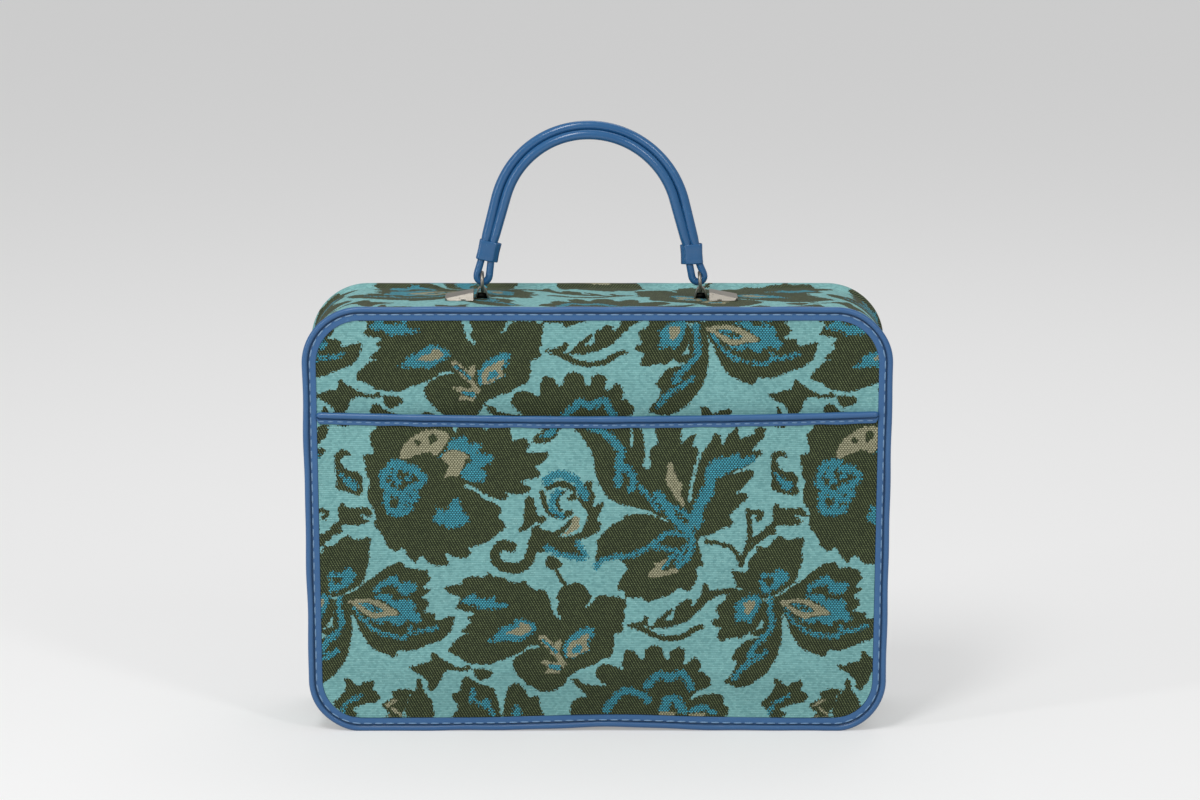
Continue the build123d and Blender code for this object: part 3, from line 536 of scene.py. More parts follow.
    ("beige", 0, "-39 65 -36 66 -31 62 -28 59 -27 62 -24 63 -23 60 -25 56 -24 51 -20 46 -20 44 -24 47 -29 52 "
     "-34 57 -38 62"),
    ("over", 2.5, "-36 62 -31 58 -27 54"),
    ("beige", 0, "-39 48 -34 49 -30 47 -24 48 -21 45 -24 42 -26 38.5 -28 40 -35 39 -33 42 -33 45"),
    ("over", 0, "-33 46 -29 46 -23 45 -24 41 -29 42 -32 43"),
    ("turquoise", 0, "-20 49 -23 55 -20 62 -15 67 -8 71 -2 70 -3 65 -7 60 -5 55"),
    ("beige", 0, "-20 50 -20 56 -18 61 -13 63 -7 67 -5 65 -8 60 -5 56 -10 54 -14 51"),
    ("over", 0, "-17 52 -16 57 -12 60 -9 57 -12 54"),
    # the small sprigs below
    ("olive", 0, "-125 45 -120 44 -116 46 -109 47 -109 53 -107 54 -103 50 -98 47 -93 44 -88 43 -84 46 -82 42 "
     "-86 41 -92 41 -97 42 -101 40 -103 35 -105 31 -109 27 -112 29 -112 34 -115 37 -118 39 -122 41"),
    ("olive", 0, "-82 43 -77 43 -70 42 -68 39 -72 36 -77 34 -81 38"),
    ("olive", 0, "-119 36 -116 35 -115 30 -113 25 -109 20 -108 14 -107 9 -112 7 -125 7 -128 14 -125 18 -124 24 "
     "-120 27 -119 30"),
    ("olive", 0, "-120 27 -126 29 -132 28 -136 26 -134 22 -140 20 -143 17 -140 14 -137 12 -143 8 -130 7 -128 14 "
     "-125 18 -124 24"),
    ("beige", 2, "-139 17 -133 21"), ("beige", 2, "-135 15 -130 11"), ("beige", 1.6, "-141 8 -137 10"),
    ("olive", 0, "-96 25 -90 27 -89 36 -85 38 -80 33 -73 31 -68 29 -66 22 -64 14 -63 0 -98 0 -97 8 -92 14 "
     "-93 20 -96 22"),
    ("turquoise", 0, "-85 18 -84 26 -82 30 -80 26 -81 22 -77 19 -74 22 -71 21 -70 15 -67 9 -70 10 -73 15 -77 16 "
     "-81 20"),
    ("olive", 0, "-62 12 -61 22 -60 29 -56 32 -53 33 -48 29 -46 24 -43 22 -40 24 -38 20 -38 14 -35 10 -34 0 -62 0"),
    ("turquoise", 0, "-56 13 -54 17 -51 15 -49 9 -56 8"),
    ("olive", 0, "-167 36 -162 35 -158 30 -154 33 -147 35 -147 31 -149 28 -144 26 -143 21 -147 19 -152 19 -159 16 "
     "-162 14 -157 12 -160 9 -163 5 -168 7 -169 13 -175 18 -172 21 -167 26 -165 31"),
    ("turquoise", 2.5, "-156 24 -162 21 -167 17 -168 12"),
    ("olive", 0, "19 73 25 74 30 75 31 79 34 77 33 73 31 71 20 71"),
    ("olive", 0, "31 70 36 72 40 77 46 82 49 84 48 79 43 75 50 76 50 84 56 88 59 90 62 88 61 84 65 88 68 94 69 100 "
     "72 99 73 95 80 96 92 97 90 93 80 92 72 88 67 82 62 77 55 73 46 70 36 70"),
    ("olive", 0, "20 71 30 67 40 62 48 61 58 63 65 68 72 71 68 73 62 71 55 66 48 65 40 66 35 69 30 72"),
    # the scalloped flower
    ("olive", 0, "-2 40 1 45 7 46.5 12 44 17 42 16 47 17 53 20 56 25 54 27 49 31 50 31 56 37 59 43 57 44 50 47 49 "
     "48 55 53 58 58 55 57 50 56 46 60 47 63 51 67 49 69 44 66 41 70 40 74 36 75 31 72 29 66 27 61 22 62 20 66 23 "
     "72 25 80 25 84 22 83 18 87 15 86 11 83 6 70 -5 20 -6 -10 -2 -18 8 -18 18 -12 22 -6 22 -10 26 -14 30 -18 36 "
     "-13 36 -10 32 -4 31 4 30 6 31 2 33 -1 36"),
    ("turquoise", 5, "6 12 9 18 14 24 20 27 26 25 32 22 33 19"),
    ("turquoise", 5, "32 30 37 35 41 39 45 37 48 35 52 39 57 39 60 33 62 29"),
    ("turquoise", 6, "44 13 46 20 50 22 54 18 56 13"), ("turquoise", 4, "63 13 70 16 76 12"),
    ("beige", 3, "42 10 50 10"), ("beige", 3, "62 9 70 10"),
]


# What each kind of motif adds to (1) or takes from (-1) the olive, turquoise and beige layers
kinds = {"olive": (1, 0, 0), "turquoise": (0, 1, 0), "beige": (0, 0, 1),
         "bare": (-1, -1, -1), "over": (0, 1, -1), "core": (1, -1, -1)}


def roundOff(points, closed, share=0.22):  # one pass of corner cutting
    after = np.roll(points, -1, 0)
    cut = np.stack([points * (1 - share) + after * share, points * share + after * (1 - share)], 1)
    if closed:
        return cut.reshape(-1, 2)
    return np.concatenate([points[:1], cut[:-1].reshape(-1, 2), points[-1:]])


def insideDepth(points, width, x, z):  # how far inside a fill or stroke each place is
    filled = width == 0
    nearest = np.full(x.shape, 1e9)
    inside = np.zeros(x.shape, bool)
    for (ax, az), (bx, bz) in zip(points, np.roll(points, -1, 0) if filled else points[1:]):
        dx, dz = bx - ax, bz - az
        along = np.clip(((x - ax) * dx + (z - az) * dz) / max(dx * dx + dz * dz, 1e-9), 0, 1)
        nearest = np.minimum(nearest, np.hypot(x - ax - along * dx, z - az - along * dz))
        if filled and dz:
            inside ^= ((az > z) != (bz > z)) & (x < ax + (z - az) * dx / dz)
    return np.where(inside, nearest, -nearest) if filled else width / 2 - nearest


def paintTile():  # each layer's distance inside its edge, in millimetres
    cell, reach = tile["cell"], tile["reach"]
    wide = round(tile["width"] / cell)
    tall = round(tile["height"] / cell)
    layers = np.full((3, tall, wide), -reach)
    for kind, width, text in motifs:
        points = np.array(text.split(), float).reshape(-1, 2)
        if len(points) > 2:
            points = roundOff(points, width == 0)
        low = np.floor((points.min(0) - reach - width / 2) / cell).astype(int)
        high = np.ceil((points.max(0) + reach + width / 2) / cell).astype(int)
        columns, rows = np.arange(low[0], high[0]), np.arange(low[1], high[1])
        depth = np.clip(insideDepth(points, width, *np.meshgrid(columns * cell, rows * cell)), -reach, reach)
        spot = np.ix_((rows - round(tile["low"] / cell)) % tall, columns % wide)
        for layer, effect in zip(layers, kinds[kind]):
            if effect > 0:
                layer[spot] = np.maximum(layer[spot], depth)
            elif effect < 0:
                layer[spot] = np.minimum(layer[spot], -depth)
    return layers


painted = paintTile()


def pattern(x, z):  # the three layers at each place, blended between cells
    cell = tile["cell"]
    across = x / cell
    up = (z - tile["low"]) / cell
    column = np.floor(across).astype(int)
    row = np.floor(up).astype(int)
    fx = (across - column)[..., None]
    fz = (up - row)[..., None]
    tall, wide = painted.shape[1:]

    def at(dr, dc):
        return np.moveaxis(painted[:, (row + dr) % tall, (column + dc) % wide], 0, -1)

    lower = at(0, 0) * (1 - fx) + at(0, 1) * fx
    upper = at(1, 0) * (1 - fx) + at(1, 1) * fx
    return lower * (1 - fz) + upper * fz


def cloth(x, z, u, v):  # what the brocade material reads: the motifs at x and z, the threads at u and v
    offset = 400  # keeps the thread counts above zero
    return {"motif": pattern(x, z), "thread": np.stack([u + offset, v + offset, np.zeros_like(u)], -1)}


print("brocade drawn")

# Front panel
front = {"inset": 3.0, "columns": 400, "seen": 198.0, "hiddenRows": 14, "pitch": 0.95, "proud": 0.12,
         "ripple": 0.18, "patternX": 51.94, "patternScale": 0.964, "patternZ": -180.0,
         "bow": 2.4, "bowMiddle": 8.0, "bowWide": 58.0, "bowTop": 62.0, "bowFade": 55.0}


def bowed(x, z):  # the lower edge stands clear of the floor in the middle
    along = np.exp(-((x - front["bowMiddle"]) / front["bowWide"]) ** 2)
    return front["bow"] * along * np.clip((front["bowTop"] - z) / front["bowFade"], 0, 1) ** 1.5


def ripple(x, z, size):  # slow unevenness of stretched cloth
    return size * (np.sin(x * 0.043 + 1.3) * np.sin(z * 0.051 + 0.4) + 0.5 * np.sin(x * 0.091 + z * 0.037 + 2.0))


def frontCloth():
    low = front["inset"] - case["flat"]
    high = case["height"] - front["inset"]
    rows = np.concatenate([np.linspace(low, front["seen"], front["hiddenRows"])[:-1],
                           np.linspace(front["seen"], high, int((high - front["seen"]) / front["pitch"]))])
    x = halfWidth(rows, front["inset"])[:, None] * np.linspace(-1, 1, front["columns"])
    z = np.broadcast_to(rows[:, None], x.shape)
    y = case["frontFace"] - np.clip(ripple(x, z, front["ripple"]), -0.1, 0.4) - front["proud"]
    surface("frontCloth", np.stack([x, y, z + bowed(x, z)], -1), "brocade", "case", ["front_fabric"],
            signals=cloth(x * front["patternScale"] + front["patternX"], z + front["patternZ"], x, z))


frontCloth()

# Slip pocket
pocket = {"inset": 9.1, "mouth": 207.2, "cutEdge": 205.4, "knee": 40.0, "seamBulge": 0.2, "kneeBulge": 6.0,
          "mouthBulge": 6.5, "thick": 1.0, "columns": 366, "pitch": 1.0, "rise": (1.5, 2.2), "middleRise": 1.4,
          "riseFrom": 150.0, "riseOver": 55.0, "tuck": 0.9, "ripple": 0.22, "backThin": 8, "backGap": 0.2}
pocketHalf = case["width"] / 2 - pocket["inset"]


def pocketBulge(x, z):
    seam = pocket["inset"] - case["flat"]
    at = np.interp(z, [seam, pocket["knee"], pocket["cutEdge"]],
                   [pocket["seamBulge"], pocket["kneeBulge"], pocket["mouthBulge"]])
    soft = np.interp(z, [seam, pocket["knee"]], [0, 1])
    at = at - pocket["tuck"] * np.sin(soft * math.pi) * (1 - soft)  # the cloth leaves its bottom seam in a curve
    return np.maximum(at, 0.1) * np.clip(1 - (x / pocketHalf) ** 2, 0, 1)


def mouthRise(x):  # the mouth stands a little higher at its two ends
    left, right = pocket["rise"]
    return np.where(x < 0, left, right) * np.abs(x / pocketHalf) ** 1.6 + pocket["middleRise"]


def pocketCloth():
    rows = np.linspace(pocket["inset"] - case["flat"], pocket["cutEdge"],
                       int((pocket["cutEdge"] - pocket["inset"]) / pocket["pitch"]))
    x = halfWidth(rows, pocket["inset"])[:, None] * np.linspace(-1, 1, pocket["columns"])
    z = np.broadcast_to(rows[:, None], x.shape)
    rising = np.clip((z - pocket["riseFrom"]) / pocket["riseOver"], 0, 1)
    lifted = z + mouthRise(x) * rising + bowed(x, z)
    face = case["frontFace"] - pocketBulge(x, z)
    edge = np.clip(10 * (1 - np.abs(x) / pocketHalf), 0, 1)  # no ripples beside the side seams
    y = face - pocket["thick"] - ripple(x, z, pocket["ripple"]) * edge
    surface("pocketCloth", np.stack([x, y, lifted], -1), "brocade", "case", ["pocket_panel"],
            signals=cloth(x, z, x, z))
    back = np.stack([x, face - pocket["backGap"], lifted], -1)[::pocket["backThin"], ::pocket["backThin"]]
    surface("pocketBack", back, "lining", "case", flip=True)


pocketCloth()
print("front and pocket covered")

# Gusset, the band of cloth round the four sides
gusset = {"step": 1.3, "columns": 76, "half": 48.5, "slide": 40.0, "drop": 60.0, "hollow": 0.35, "ripple": 0.12,
          "rearRise": 2.4, "riseFrom": 39.0, "riseOver": 8.2, "riseEnd": ([46.5, 47.7, 48.5], [1, 0.93, 0.5])}


def smooth(share):  # eases in and out between 0 and 1
    share = np.clip(share, 0, 1)
    return share * share * (3 - 2 * share)


def gussetCloth():
    y = np.linspace(-gusset["half"], gusset["half"], gusset["columns"])
    profile = [(case["gussetInset"], depth) for depth in y]
    points, _, inward, run = sweepOutline(profile, gusset["step"])
    u = np.broadcast_to(run[:, None], points.shape[:2])
    v = np.broadcast_to(y[None, :], u.shape)
    hollow = gusset["hollow"] * (1 - (v / gusset["half"]) ** 4) + ripple(u, v, gusset["ripple"])
    # the cloth rides up over the cord of the rear seam
    over = smooth((v - gusset["riseFrom"]) / gusset["riseOver"])
    pushIn(points, inward, hollow - gusset["rearRise"] * over * np.interp(v, *gusset["riseEnd"]))
    points[:, :, 2] = np.maximum(points[:, :, 2], case["floorGap"])
    scale = tile["width"] * round(run[-1] / tile["width"]) / run[-1]  # whole tiles round the case
    surface("gussetCloth", points, "brocade", "case", ["gusset_fabric"], wrapRows=True,
            signals=cloth(u * scale + gusset["slide"], v + gusset["drop"], u, v))


gussetCloth()

# Lid, the zipped back panel
lid = {"inset": 26.7, "low": 27.5, "pitch": 1.1, "columns": 300, "rollInset": 25.0, "rollDepth": 51.0, "roll": 1.7,
       "flangeEnd": 31.5, "flangeFace": 53.1, "thick": 0.8, "step": 1.6, "stitchInset": 29.4, "stitchHigh": 0.24,
       "stitchPitch": 7.0, "stitchLow": 35.0, "stitch": (3.2, 0.4, 0.32), "ripple": 0.2, "patternX": 30.0,
       "patternZ": -41.5}


def lidCloth():
    high = case["height"] - lid["inset"]
    rows = np.linspace(lid["low"], high, int((high - lid["low"]) / lid["pitch"]))
    top = case["cornerTop"] - lid["inset"]
    over = np.clip(rows - (high - top), 0, top)
    half = case["width"] / 2 - lid["inset"] - top + np.sqrt(top ** 2 - over ** 2)
    x = half[:, None] * np.linspace(-1, 1, lid["columns"])
    z = np.broadcast_to(rows[:, None], x.shape)
    y = case["lidFace"] + np.clip(ripple(x, z, lid["ripple"]) + 0.25, 0.02, 0.6)
    surface("lidCloth", np.stack([x, y, z], -1), "brocade", "lid", ["lid_fabric"], flip=True,
            signals=cloth(lid["patternX"] - x, z + lid["patternZ"], -x, z))


lidCloth()
print("gusset and lid covered")


# Welts: a roll, a groove and a stitched flange, as one closed section (inset, depth), with painted shade in the
# groove
def weltSection(rollInset, rollDepth, roll, flangeEnd, flangeFace, thick, side):
    face = side * (flangeFace - rollDepth)
    back = face - thick
    start = math.asin(max(-0.9, min(0.72, (face - 0.35) / roll)))
    end = math.asin(max(-0.9, min(0.5, back / roll)))
    points = arc((rollInset, 0), roll, math.degrees(start), math.degrees(end) + 360, 20)
    # Painted shade along the section: darkest in the groove beside the roll, a little at the flange's edge
    mark = [0.95, 0.7, 0.4, 0.15] + [0.0] * 16
    points += [(flangeEnd - 1.2, back), (flangeEnd - 0.25, back), (flangeEnd, back + 0.25),
               (flangeEnd, face - 0.25), (flangeEnd - 0.18, face + 0.02)]
    mark += [0, 0, 0.2, 0.1, 0]
    inner = rollInset + roll * math.cos(start)
    for share, dark in ((0.1, 0), (0.28, 0), (0.5, 0), (0.72, 0), (0.9, 0.6)):
        points.append((flangeEnd - 0.2 - share * (flangeEnd - 0.4 - inner),
                       face + 0.02 + 0.26 * math.sin(share * math.pi)))
        mark.append(dark)
    points.append((inner + 0.14, face - 0.25))
    mark.append(1.0)
    return [(inset, rollDepth + side * depth) for inset, depth in points], np.array(mark)


def closeEnds(points):  # both ends of an open strip drawn together
    ends = [np.repeat(row.mean(1, keepdims=True), points.shape[1], 1) for row in (points[:1], points[-1:])]
    return np.concatenate([ends[0], points, ends[1]])


def seam(mark, rows):  # painted shade in grooves and hollows, the same along all of a strip
    return {"seam": np.broadcast_to(np.asarray(mark, float)[None, :, None], (rows, len(mark), 3))}


def stitches(name, centres, along, out, size, body):  # short raised stitches as one piece
    length, radius, height = size
    sides = 6
    share = np.array([0.05, 0.7, 1.0, 1.0, 0.7, 0.05])[:, None]  # how full each ring of a stitch is
    rings = len(share)
    angles = math.tau * np.arange(sides) / sides
    forward = np.broadcast_to(np.array([-1, -0.8, -0.3, 0.3, 0.8, 1])[:, None] * length / 2, (rings, sides)).ravel()
    aside = (share * np.cos(angles) * radius).ravel()
    upward = (share * np.sin(angles) * height).ravel()
    across = np.cross(out, along)
    points = (centres[:, None] + forward[None, :, None] * along[:, None] + aside[None, :, None] * across[:, None]
              + upward[None, :, None] * out[:, None])
    first = np.arange((rings - 1) * sides).reshape(-1, sides)
    after = np.roll(first, -1, 1)
    faces = np.stack([first, after, after + sides, first + sides], -1).reshape(-1, 4)
    faces = (faces[None] + np.arange(len(centres))[:, None, None] * rings * sides).reshape(-1, 4)
    meshObject(name, points.reshape(-1, 3), faces, "thread", body)


def alongOutline(inset, depth, spacing, side):  # stitch places on a flange that follows the outline
    places, inward = outline(1.0)[:2]
    line = places + inward * inset
    length = np.concatenate([[0], np.cumsum(np.hypot(*(np.diff(line, axis=0).T)))])
    marks = np.arange(0.5 * spacing, length[-1], spacing)
    x, z = (np.interp(marks, length, line[:, axis]) for axis in (0, 1))
    nextX, nextZ = (np.interp(marks + 0.5, length, line[:, axis]) for axis in (0, 1))
    ahead = np.stack([nextX - x, np.zeros(len(marks)), nextZ - z], -1)
    ahead /= np.linalg.norm(ahead, axis=1, keepdims=True) + 1e-9
    centres = np.stack([x, np.full(len(marks), depth), z], -1)
    return centres, ahead, np.tile([0.0, float(side), 0.0], (len(marks), 1))


def straightStitches(name, x, y, z, side, size, body):  # a row along the case's width
    centres = np.stack(np.broadcast_arrays(x, y, z), -1)
    along, out = (np.tile(direction, (len(x), 1)) for direction in ([1.0, 0.0, 0.0], [0.0, side, 0.0]))
    stitches(name, centres, along, out, size, body)


# Sections are (roll inset, roll depth, roll radius, flange end, flange face, thickness, side)
frontWelt = {"section": (2.0, -50.5, 2.0, 9.0, -51.1, 0.8, -1), "step": 1.6, "wobble": 0.22,
             "stitchInset": 5.1, "stitchPitch": 7.4, "stitchHigh": 0.12, "stitch": (5.6, 0.5, 0.5)}
rearWelt = {"section": (2.7, 50.6, 1.8, 8.0, 50.1, 0.8, 1), "step": 2.0, "wobble": 0.15,
            "stitchInset": 6.0, "stitchPitch": 7.0, "stitchHigh": 0.24, "stitch": (4.2, 0.42, 0.34)}


def weltWobble(places, size):  # hand-sewn unevenness of the roll
    x, z = places[:, 0], places[:, 1]
    return size * (np.sin(x * 0.061 + 0.7) * np.cos(z * 0.083) + 0.6 * np.sin((x - z) * 0.137 + 1.1))


def frameWelt(name, parts, node):
    section, mark = weltSection(*parts["section"])
    side = parts["section"][-1]
    points, places, inward = sweepOutline(section, parts["step"])[:3]
    inset = np.array(section)[:, 0]
    pushIn(points, inward, weltWobble(places, parts["wobble"])[:, None] * np.clip((7 - inset) / 4, 0, 1))
    sway = weltWobble(places[:, ::-1], parts["wobble"] * 0.6)
    points[:, :, 1] += sway[:, None] * np.clip((5 - inset) / 3, 0, 1)
    depth = parts["section"][4] + side * parts["stitchHigh"]
    centres, ahead, out = alongOutline(parts["stitchInset"], depth, parts["stitchPitch"], side)
    if side < 0:
        points[:, :, 2] += bowed(points[:, :, 0], points[:, :, 2])
        centres[:, 2] += bowed(centres[:, 0], centres[:, 2])
    points[:, :, 2] = np.maximum(points[:, :, 2], case["floorGap"])
    surface(name, points, "trim", "case", [node], wrapRows=True, wrapColumns=True,
            signals=seam(mark, len(points)), flip=side > 0)
    stitches(name + "Stitches", centres, ahead, out, parts["stitch"], "case")


frameWelt("frontWelt", frontWelt, "front_binding")
frameWelt("rearWelt", rearWelt, "rear_binding")

# The lid's hinge line, low on the back
hinge = {"half": 156.0, "axis": 14.5, "blend": 2.0, "blendDepth": 51.9, "columns": 160, "end": 4.0, "pitch": 7.0,
         "rows": {"case": (52.46, 6.0), "lid": (53.26, 30.5)}, "stitch": (3.2, 0.4, 0.3)}


def lidWelt():
    section, mark = weltSection(lid["rollInset"], lid["rollDepth"], lid["roll"], lid["flangeEnd"],
                                lid["flangeFace"], lid["thick"], 1)
    points, places = sweepOutline(section, lid["step"])[:2]
    beside = (np.abs(places[:, 0]) > hinge["half"] + 0.3) | (places[:, 1] > case["height"] / 2)
    kept = np.nonzero(beside)[0]
    strip = closeEnds(points[kept[0]:kept[-1] + 1])
    surface("lidWelt", strip, "trim", "lid", ["lid_binding"], wrapColumns=True, flip=True,
            signals=seam(mark, len(strip)))
    stitchDepth = lid["flangeFace"] + lid["stitchHigh"]
    centres, ahead, out = alongOutline(lid["stitchInset"], stitchDepth, lid["stitchPitch"], 1)
    above = centres[:, 2] > lid["stitchLow"]
    stitches("lidStitches", centres[above], ahead[above], out[above], lid["stitch"], "lid")


lidWelt()

mouth = {"roll": 2.1, "flange": 5.9, "flangeFace": 0.3, "thick": 0.8, "step": 1.4, "depth": -52.4, "endInset": 8.9,
         "stitchDrop": 3.9, "stitchPitch": 6.1, "stitchHigh": 0.24, "stitch": (3.9, 0.46, 0.4)}


def pocketWelt():
    half = case["width"] / 2 - mouth["endInset"]
    x = np.linspace(-half, half, int(2 * half / mouth["step"]))
    section, mark = weltSection(0.0, 0.0, mouth["roll"], mouth["flange"], mouth["flangeFace"], mouth["thick"], -1)
    inset, deep = np.array(section).T
    pinch = np.clip((half - np.abs(x)) / 1.5, 0.5, 1)  # the ends are pinched under the side welts
    size = (pinch * (1 + 0.05 * np.sin(x * 0.21) * np.sin(x * 0.047 + 1)))[:, None]

    def bow(place):
        return mouth["depth"] - pocket["mouthBulge"] * np.clip(1 - (place / pocketHalf) ** 2, 0, 1)

    z = pocket["mouth"] + mouthRise(x)[:, None] - inset * size
    points = np.stack([np.broadcast_to(x[:, None], z.shape), bow(x)[:, None] + deep * size, z], -1)
    strip = closeEnds(points)
    surface("pocketWelt", strip, "trim", "case", ["pocket_binding"], wrapColumns=True,
            signals=seam(mark, len(strip)), flip=True)
    marks = np.arange(-half + 3, half - 2, mouth["stitchPitch"])
    straightStitches("pocketStitches", marks, bow(marks) + mouth["flangeFace"] - mouth["stitchHigh"],
                     pocket["mouth"] + mouthRise(marks) - mouth["stitchDrop"], -1.0, mouth["stitch"], "case")


pocketWelt()
print("welts sewn")

# Handle: one vinyl tube bent into a closed double loop
handle = {"offset": -4.0, "ringX": 71.2, "gusset": 278.4, "eyeFoot": 291.7, "eyeBend": 4.15, "eyeLean": 5.0,
          "apart": 2.55, "rise": 114.1, "arc": 62.1, "grip": 3.25, "limb": 2.4, "gap": 0.3, "lift": 2.65,
          "spread": 2.15, "collarRise": 32.8, "step": 1.3, "sides": 22, "swell": 9.0, "swellFrom": 1.5}
# How far it has dropped (down and sideways): (both, more on the right, at both sides), and at its eyes
sag = {"half": 69.5, "from": 294.0, "over": 13.0, "down": (-3.4, -1.15, 0.95), "aside": (-0.75, -2.15),
       "eyeDown": (-2.7, -2.8), "eyeAside": (0.0, -1.1)}


def settle(line):
    x, z = line[:, 0], line[:, 2]
    side = np.clip(x / sag["half"], -1, 1)
    high = smooth((z - sag["from"]) / sag["over"])
    down = sag["down"][0] + sag["down"][1] * side + sag["down"][2] * side ** 2
    aside = sag["aside"][0] + sag["aside"][1] * side
    lift = high * down + (1 - high) * np.where(x < 0, *sag["eyeDown"])
    slide = high * aside + (1 - high) * np.where(x < 0, *sag["eyeAside"])
    return line + np.stack([slide, np.zeros(len(x)), lift], -1)


def handleLoop():
    lean = math.radians(handle["eyeLean"])
    up = np.array([-math.sin(lean), 0, math.cos(lean)])
    out = np.array([math.cos(lean), 0, math.sin(lean)])
    foot = np.array([handle["ringX"], 0, handle["eyeFoot"]])
    eye = foot + up * handle["eyeBend"]
    knee = foot + up * ((handle["gusset"] + handle["collarRise"] - handle["eyeFoot"]) / up[2])

    def strand(side):  # from the knee up to the top, on the right
        start = knee + out * side * handle["apart"]
        climb = handle["gusset"] + handle["rise"] + side * handle["lift"] - start[2]
        radius = handle["arc"] + side * (handle["grip"] + handle["gap"] / 2)
        lift = np.array([0, side * handle["spread"], climb])
        reach = np.linalg.norm(lift)
        lift = lift / reach
        rise = reach - radius
        centre = np.array([0, 0, start[2]]) + lift * rise
        turn = math.acos(radius / math.hypot(start[0], rise)) - math.atan2(rise, start[0])
        arch = [centre + np.array([radius * math.cos(a), 0, 0]) + lift * radius * math.sin(a)
                for a in np.linspace(turn, math.pi / 2, 40)]
        leg = [start + (arch[0] - start) * share for share in np.linspace(0, 1, 24)[:-1]]
        return leg + arch

    distance = (knee - eye) @ up
    part = math.atan2(distance, handle["apart"])
    part -= math.acos(handle["eyeBend"] / math.hypot(handle["apart"], distance))
    bend = [eye + out * handle["eyeBend"] * math.cos(a) + up * handle["eyeBend"] * math.sin(a)
            for a in np.linspace(part, -math.pi - part, 26)]
    outer = strand(1)
    inner = strand(-1)
    shares = np.linspace(0, 1, 9)[1:-1]
    down = [outer[0] + (bend[0] - outer[0]) * share for share in shares]
    rising = [bend[-1] + (inner[0] - bend[-1]) * share for share in shares]
    right = np.array(outer[::-1] + down + bend + rising + inner)
    left = right[::-1][1:-1] * np.array([-1, 1, 1])
    loop = np.concatenate([right, left])
    closed = np.concatenate([loop, loop[:1]])
    length = np.concatenate([[0], np.cumsum(np.linalg.norm(np.diff(closed, axis=0), axis=1))])
    count = int(length[-1] / handle["step"])
    places = np.linspace(0, length[-1], count, endpoint=False)
    line = np.stack([np.interp(places, length, closed[:, axis]) for axis in range(3)], -1)
    for _ in range(2):
        line = line * 0.5 + (np.roll(line, 1, 0) + np.roll(line, -1, 0)) * 0.25
    above = line[:, 2] - (handle["gusset"] + handle["collarRise"] + handle["swellFrom"])
    line = settle(line)
    tangent = np.roll(line, -1, 0) - np.roll(line, 1, 0)
    tangent /= np.linalg.norm(tangent, axis=1, keepdims=True)
    level = np.array([0.0, 1.0, 0.0]) - tangent * tangent[:, 1:2]
    level /= np.linalg.norm(level, axis=1, keepdims=True)
    square = np.cross(tangent, level)
    thick = handle["limb"] + (handle["grip"] - handle["limb"]) * np.clip(above / handle["swell"], 0, 1) ** 0.7
    thick = thick * (1 + 0.012 * np.sin(places * 0.11) * np.sin(places * 0.037))
    angles = np.linspace(0, math.tau, handle["sides"], endpoint=False)
    circle = level[:, None] * np.cos(angles)[None, :, None] + square[:, None] * np.sin(angles)[None, :, None]
    points = line[:, None] + circle * thick[:, None, None]
    points[:, :, 0] += handle["offset"]
    surface("handleLoop", points, "handle", "handle", ["handle_loop"], wrapRows=True,
            wrapColumns=True, flip=True)


handleLoop()

# Collars, folded from a strip and glued into a fin on the inner side; places are (x, height, lean in degrees)
collar = {"width": 12.4, "thick": 7.0, "length": 13.0, "wall": 0.9, "fin": 2.2, "finSharp": 0.012,
          "square": 0.56, "points": 56, "waist": 3.0, "left": (-68.1, 309.9, 12.5), "right": (66.6, 307.7, 3.0)}


def collarTube(name, side, place, node):
    middle, level, lean = place
    half = np.array([collar["width"] / 2, collar["thick"] / 2])
    angles = np.linspace(0, math.tau, collar["points"], endpoint=False)
    fin = collar["fin"] * np.exp(-(np.mod(angles + math.pi, math.tau) - math.pi) ** 2 / collar["finSharp"])
    tall, wall, waist = collar["length"] / 2, collar["wall"], collar["waist"]
    outside = [(-tall, 0.35), (-tall + 0.25, 0.08), (-tall + 0.8, 0.0), (-waist, 0.12), (0.0, 0.2),
               (waist, 0.12), (tall - 0.8, 0.0), (tall - 0.25, 0.08), (tall, 0.35)]
    inside = [(tall - 0.2, wall - 0.1), (tall - 1.5, wall), (0.0, wall), (-tall + 1.5, wall),
              (-tall + 0.2, wall - 0.1)]
    tilt = math.radians(lean) * side
    rows = []
    for height, shrink in outside + inside:  # flat ovals, drawn from the fin round
        a, b = half - shrink
        x = a * np.sign(np.cos(angles)) * np.abs(np.cos(angles)) ** collar["square"]
        y = b * np.sign(np.sin(angles)) * np.abs(np.sin(angles)) ** collar["square"]
        if shrink < 0.5:
            x = x + fin
        x = -side * x
        rows.append(np.stack([x * math.cos(tilt) - height * math.sin(tilt) + middle + handle["offset"], y,
                              x * math.sin(tilt) + height * math.cos(tilt) + level], -1))
    surface(name, np.array(rows), "handle", "handle", [node], wrapRows=True, wrapColumns=True,
            flip=side < 0)


collarTube("collarLeft", -1, collar["left"], "collar_left")
collarTube("collarRight", 1, collar["right"], "collar_right")

# Closed wire rings, with each one's lean in degrees
ring = {"radius": 6.1, "wire": 1.1, "low": 283.1, "points": 72, "sides": 16, "left": 1.0, "right": 4.0}


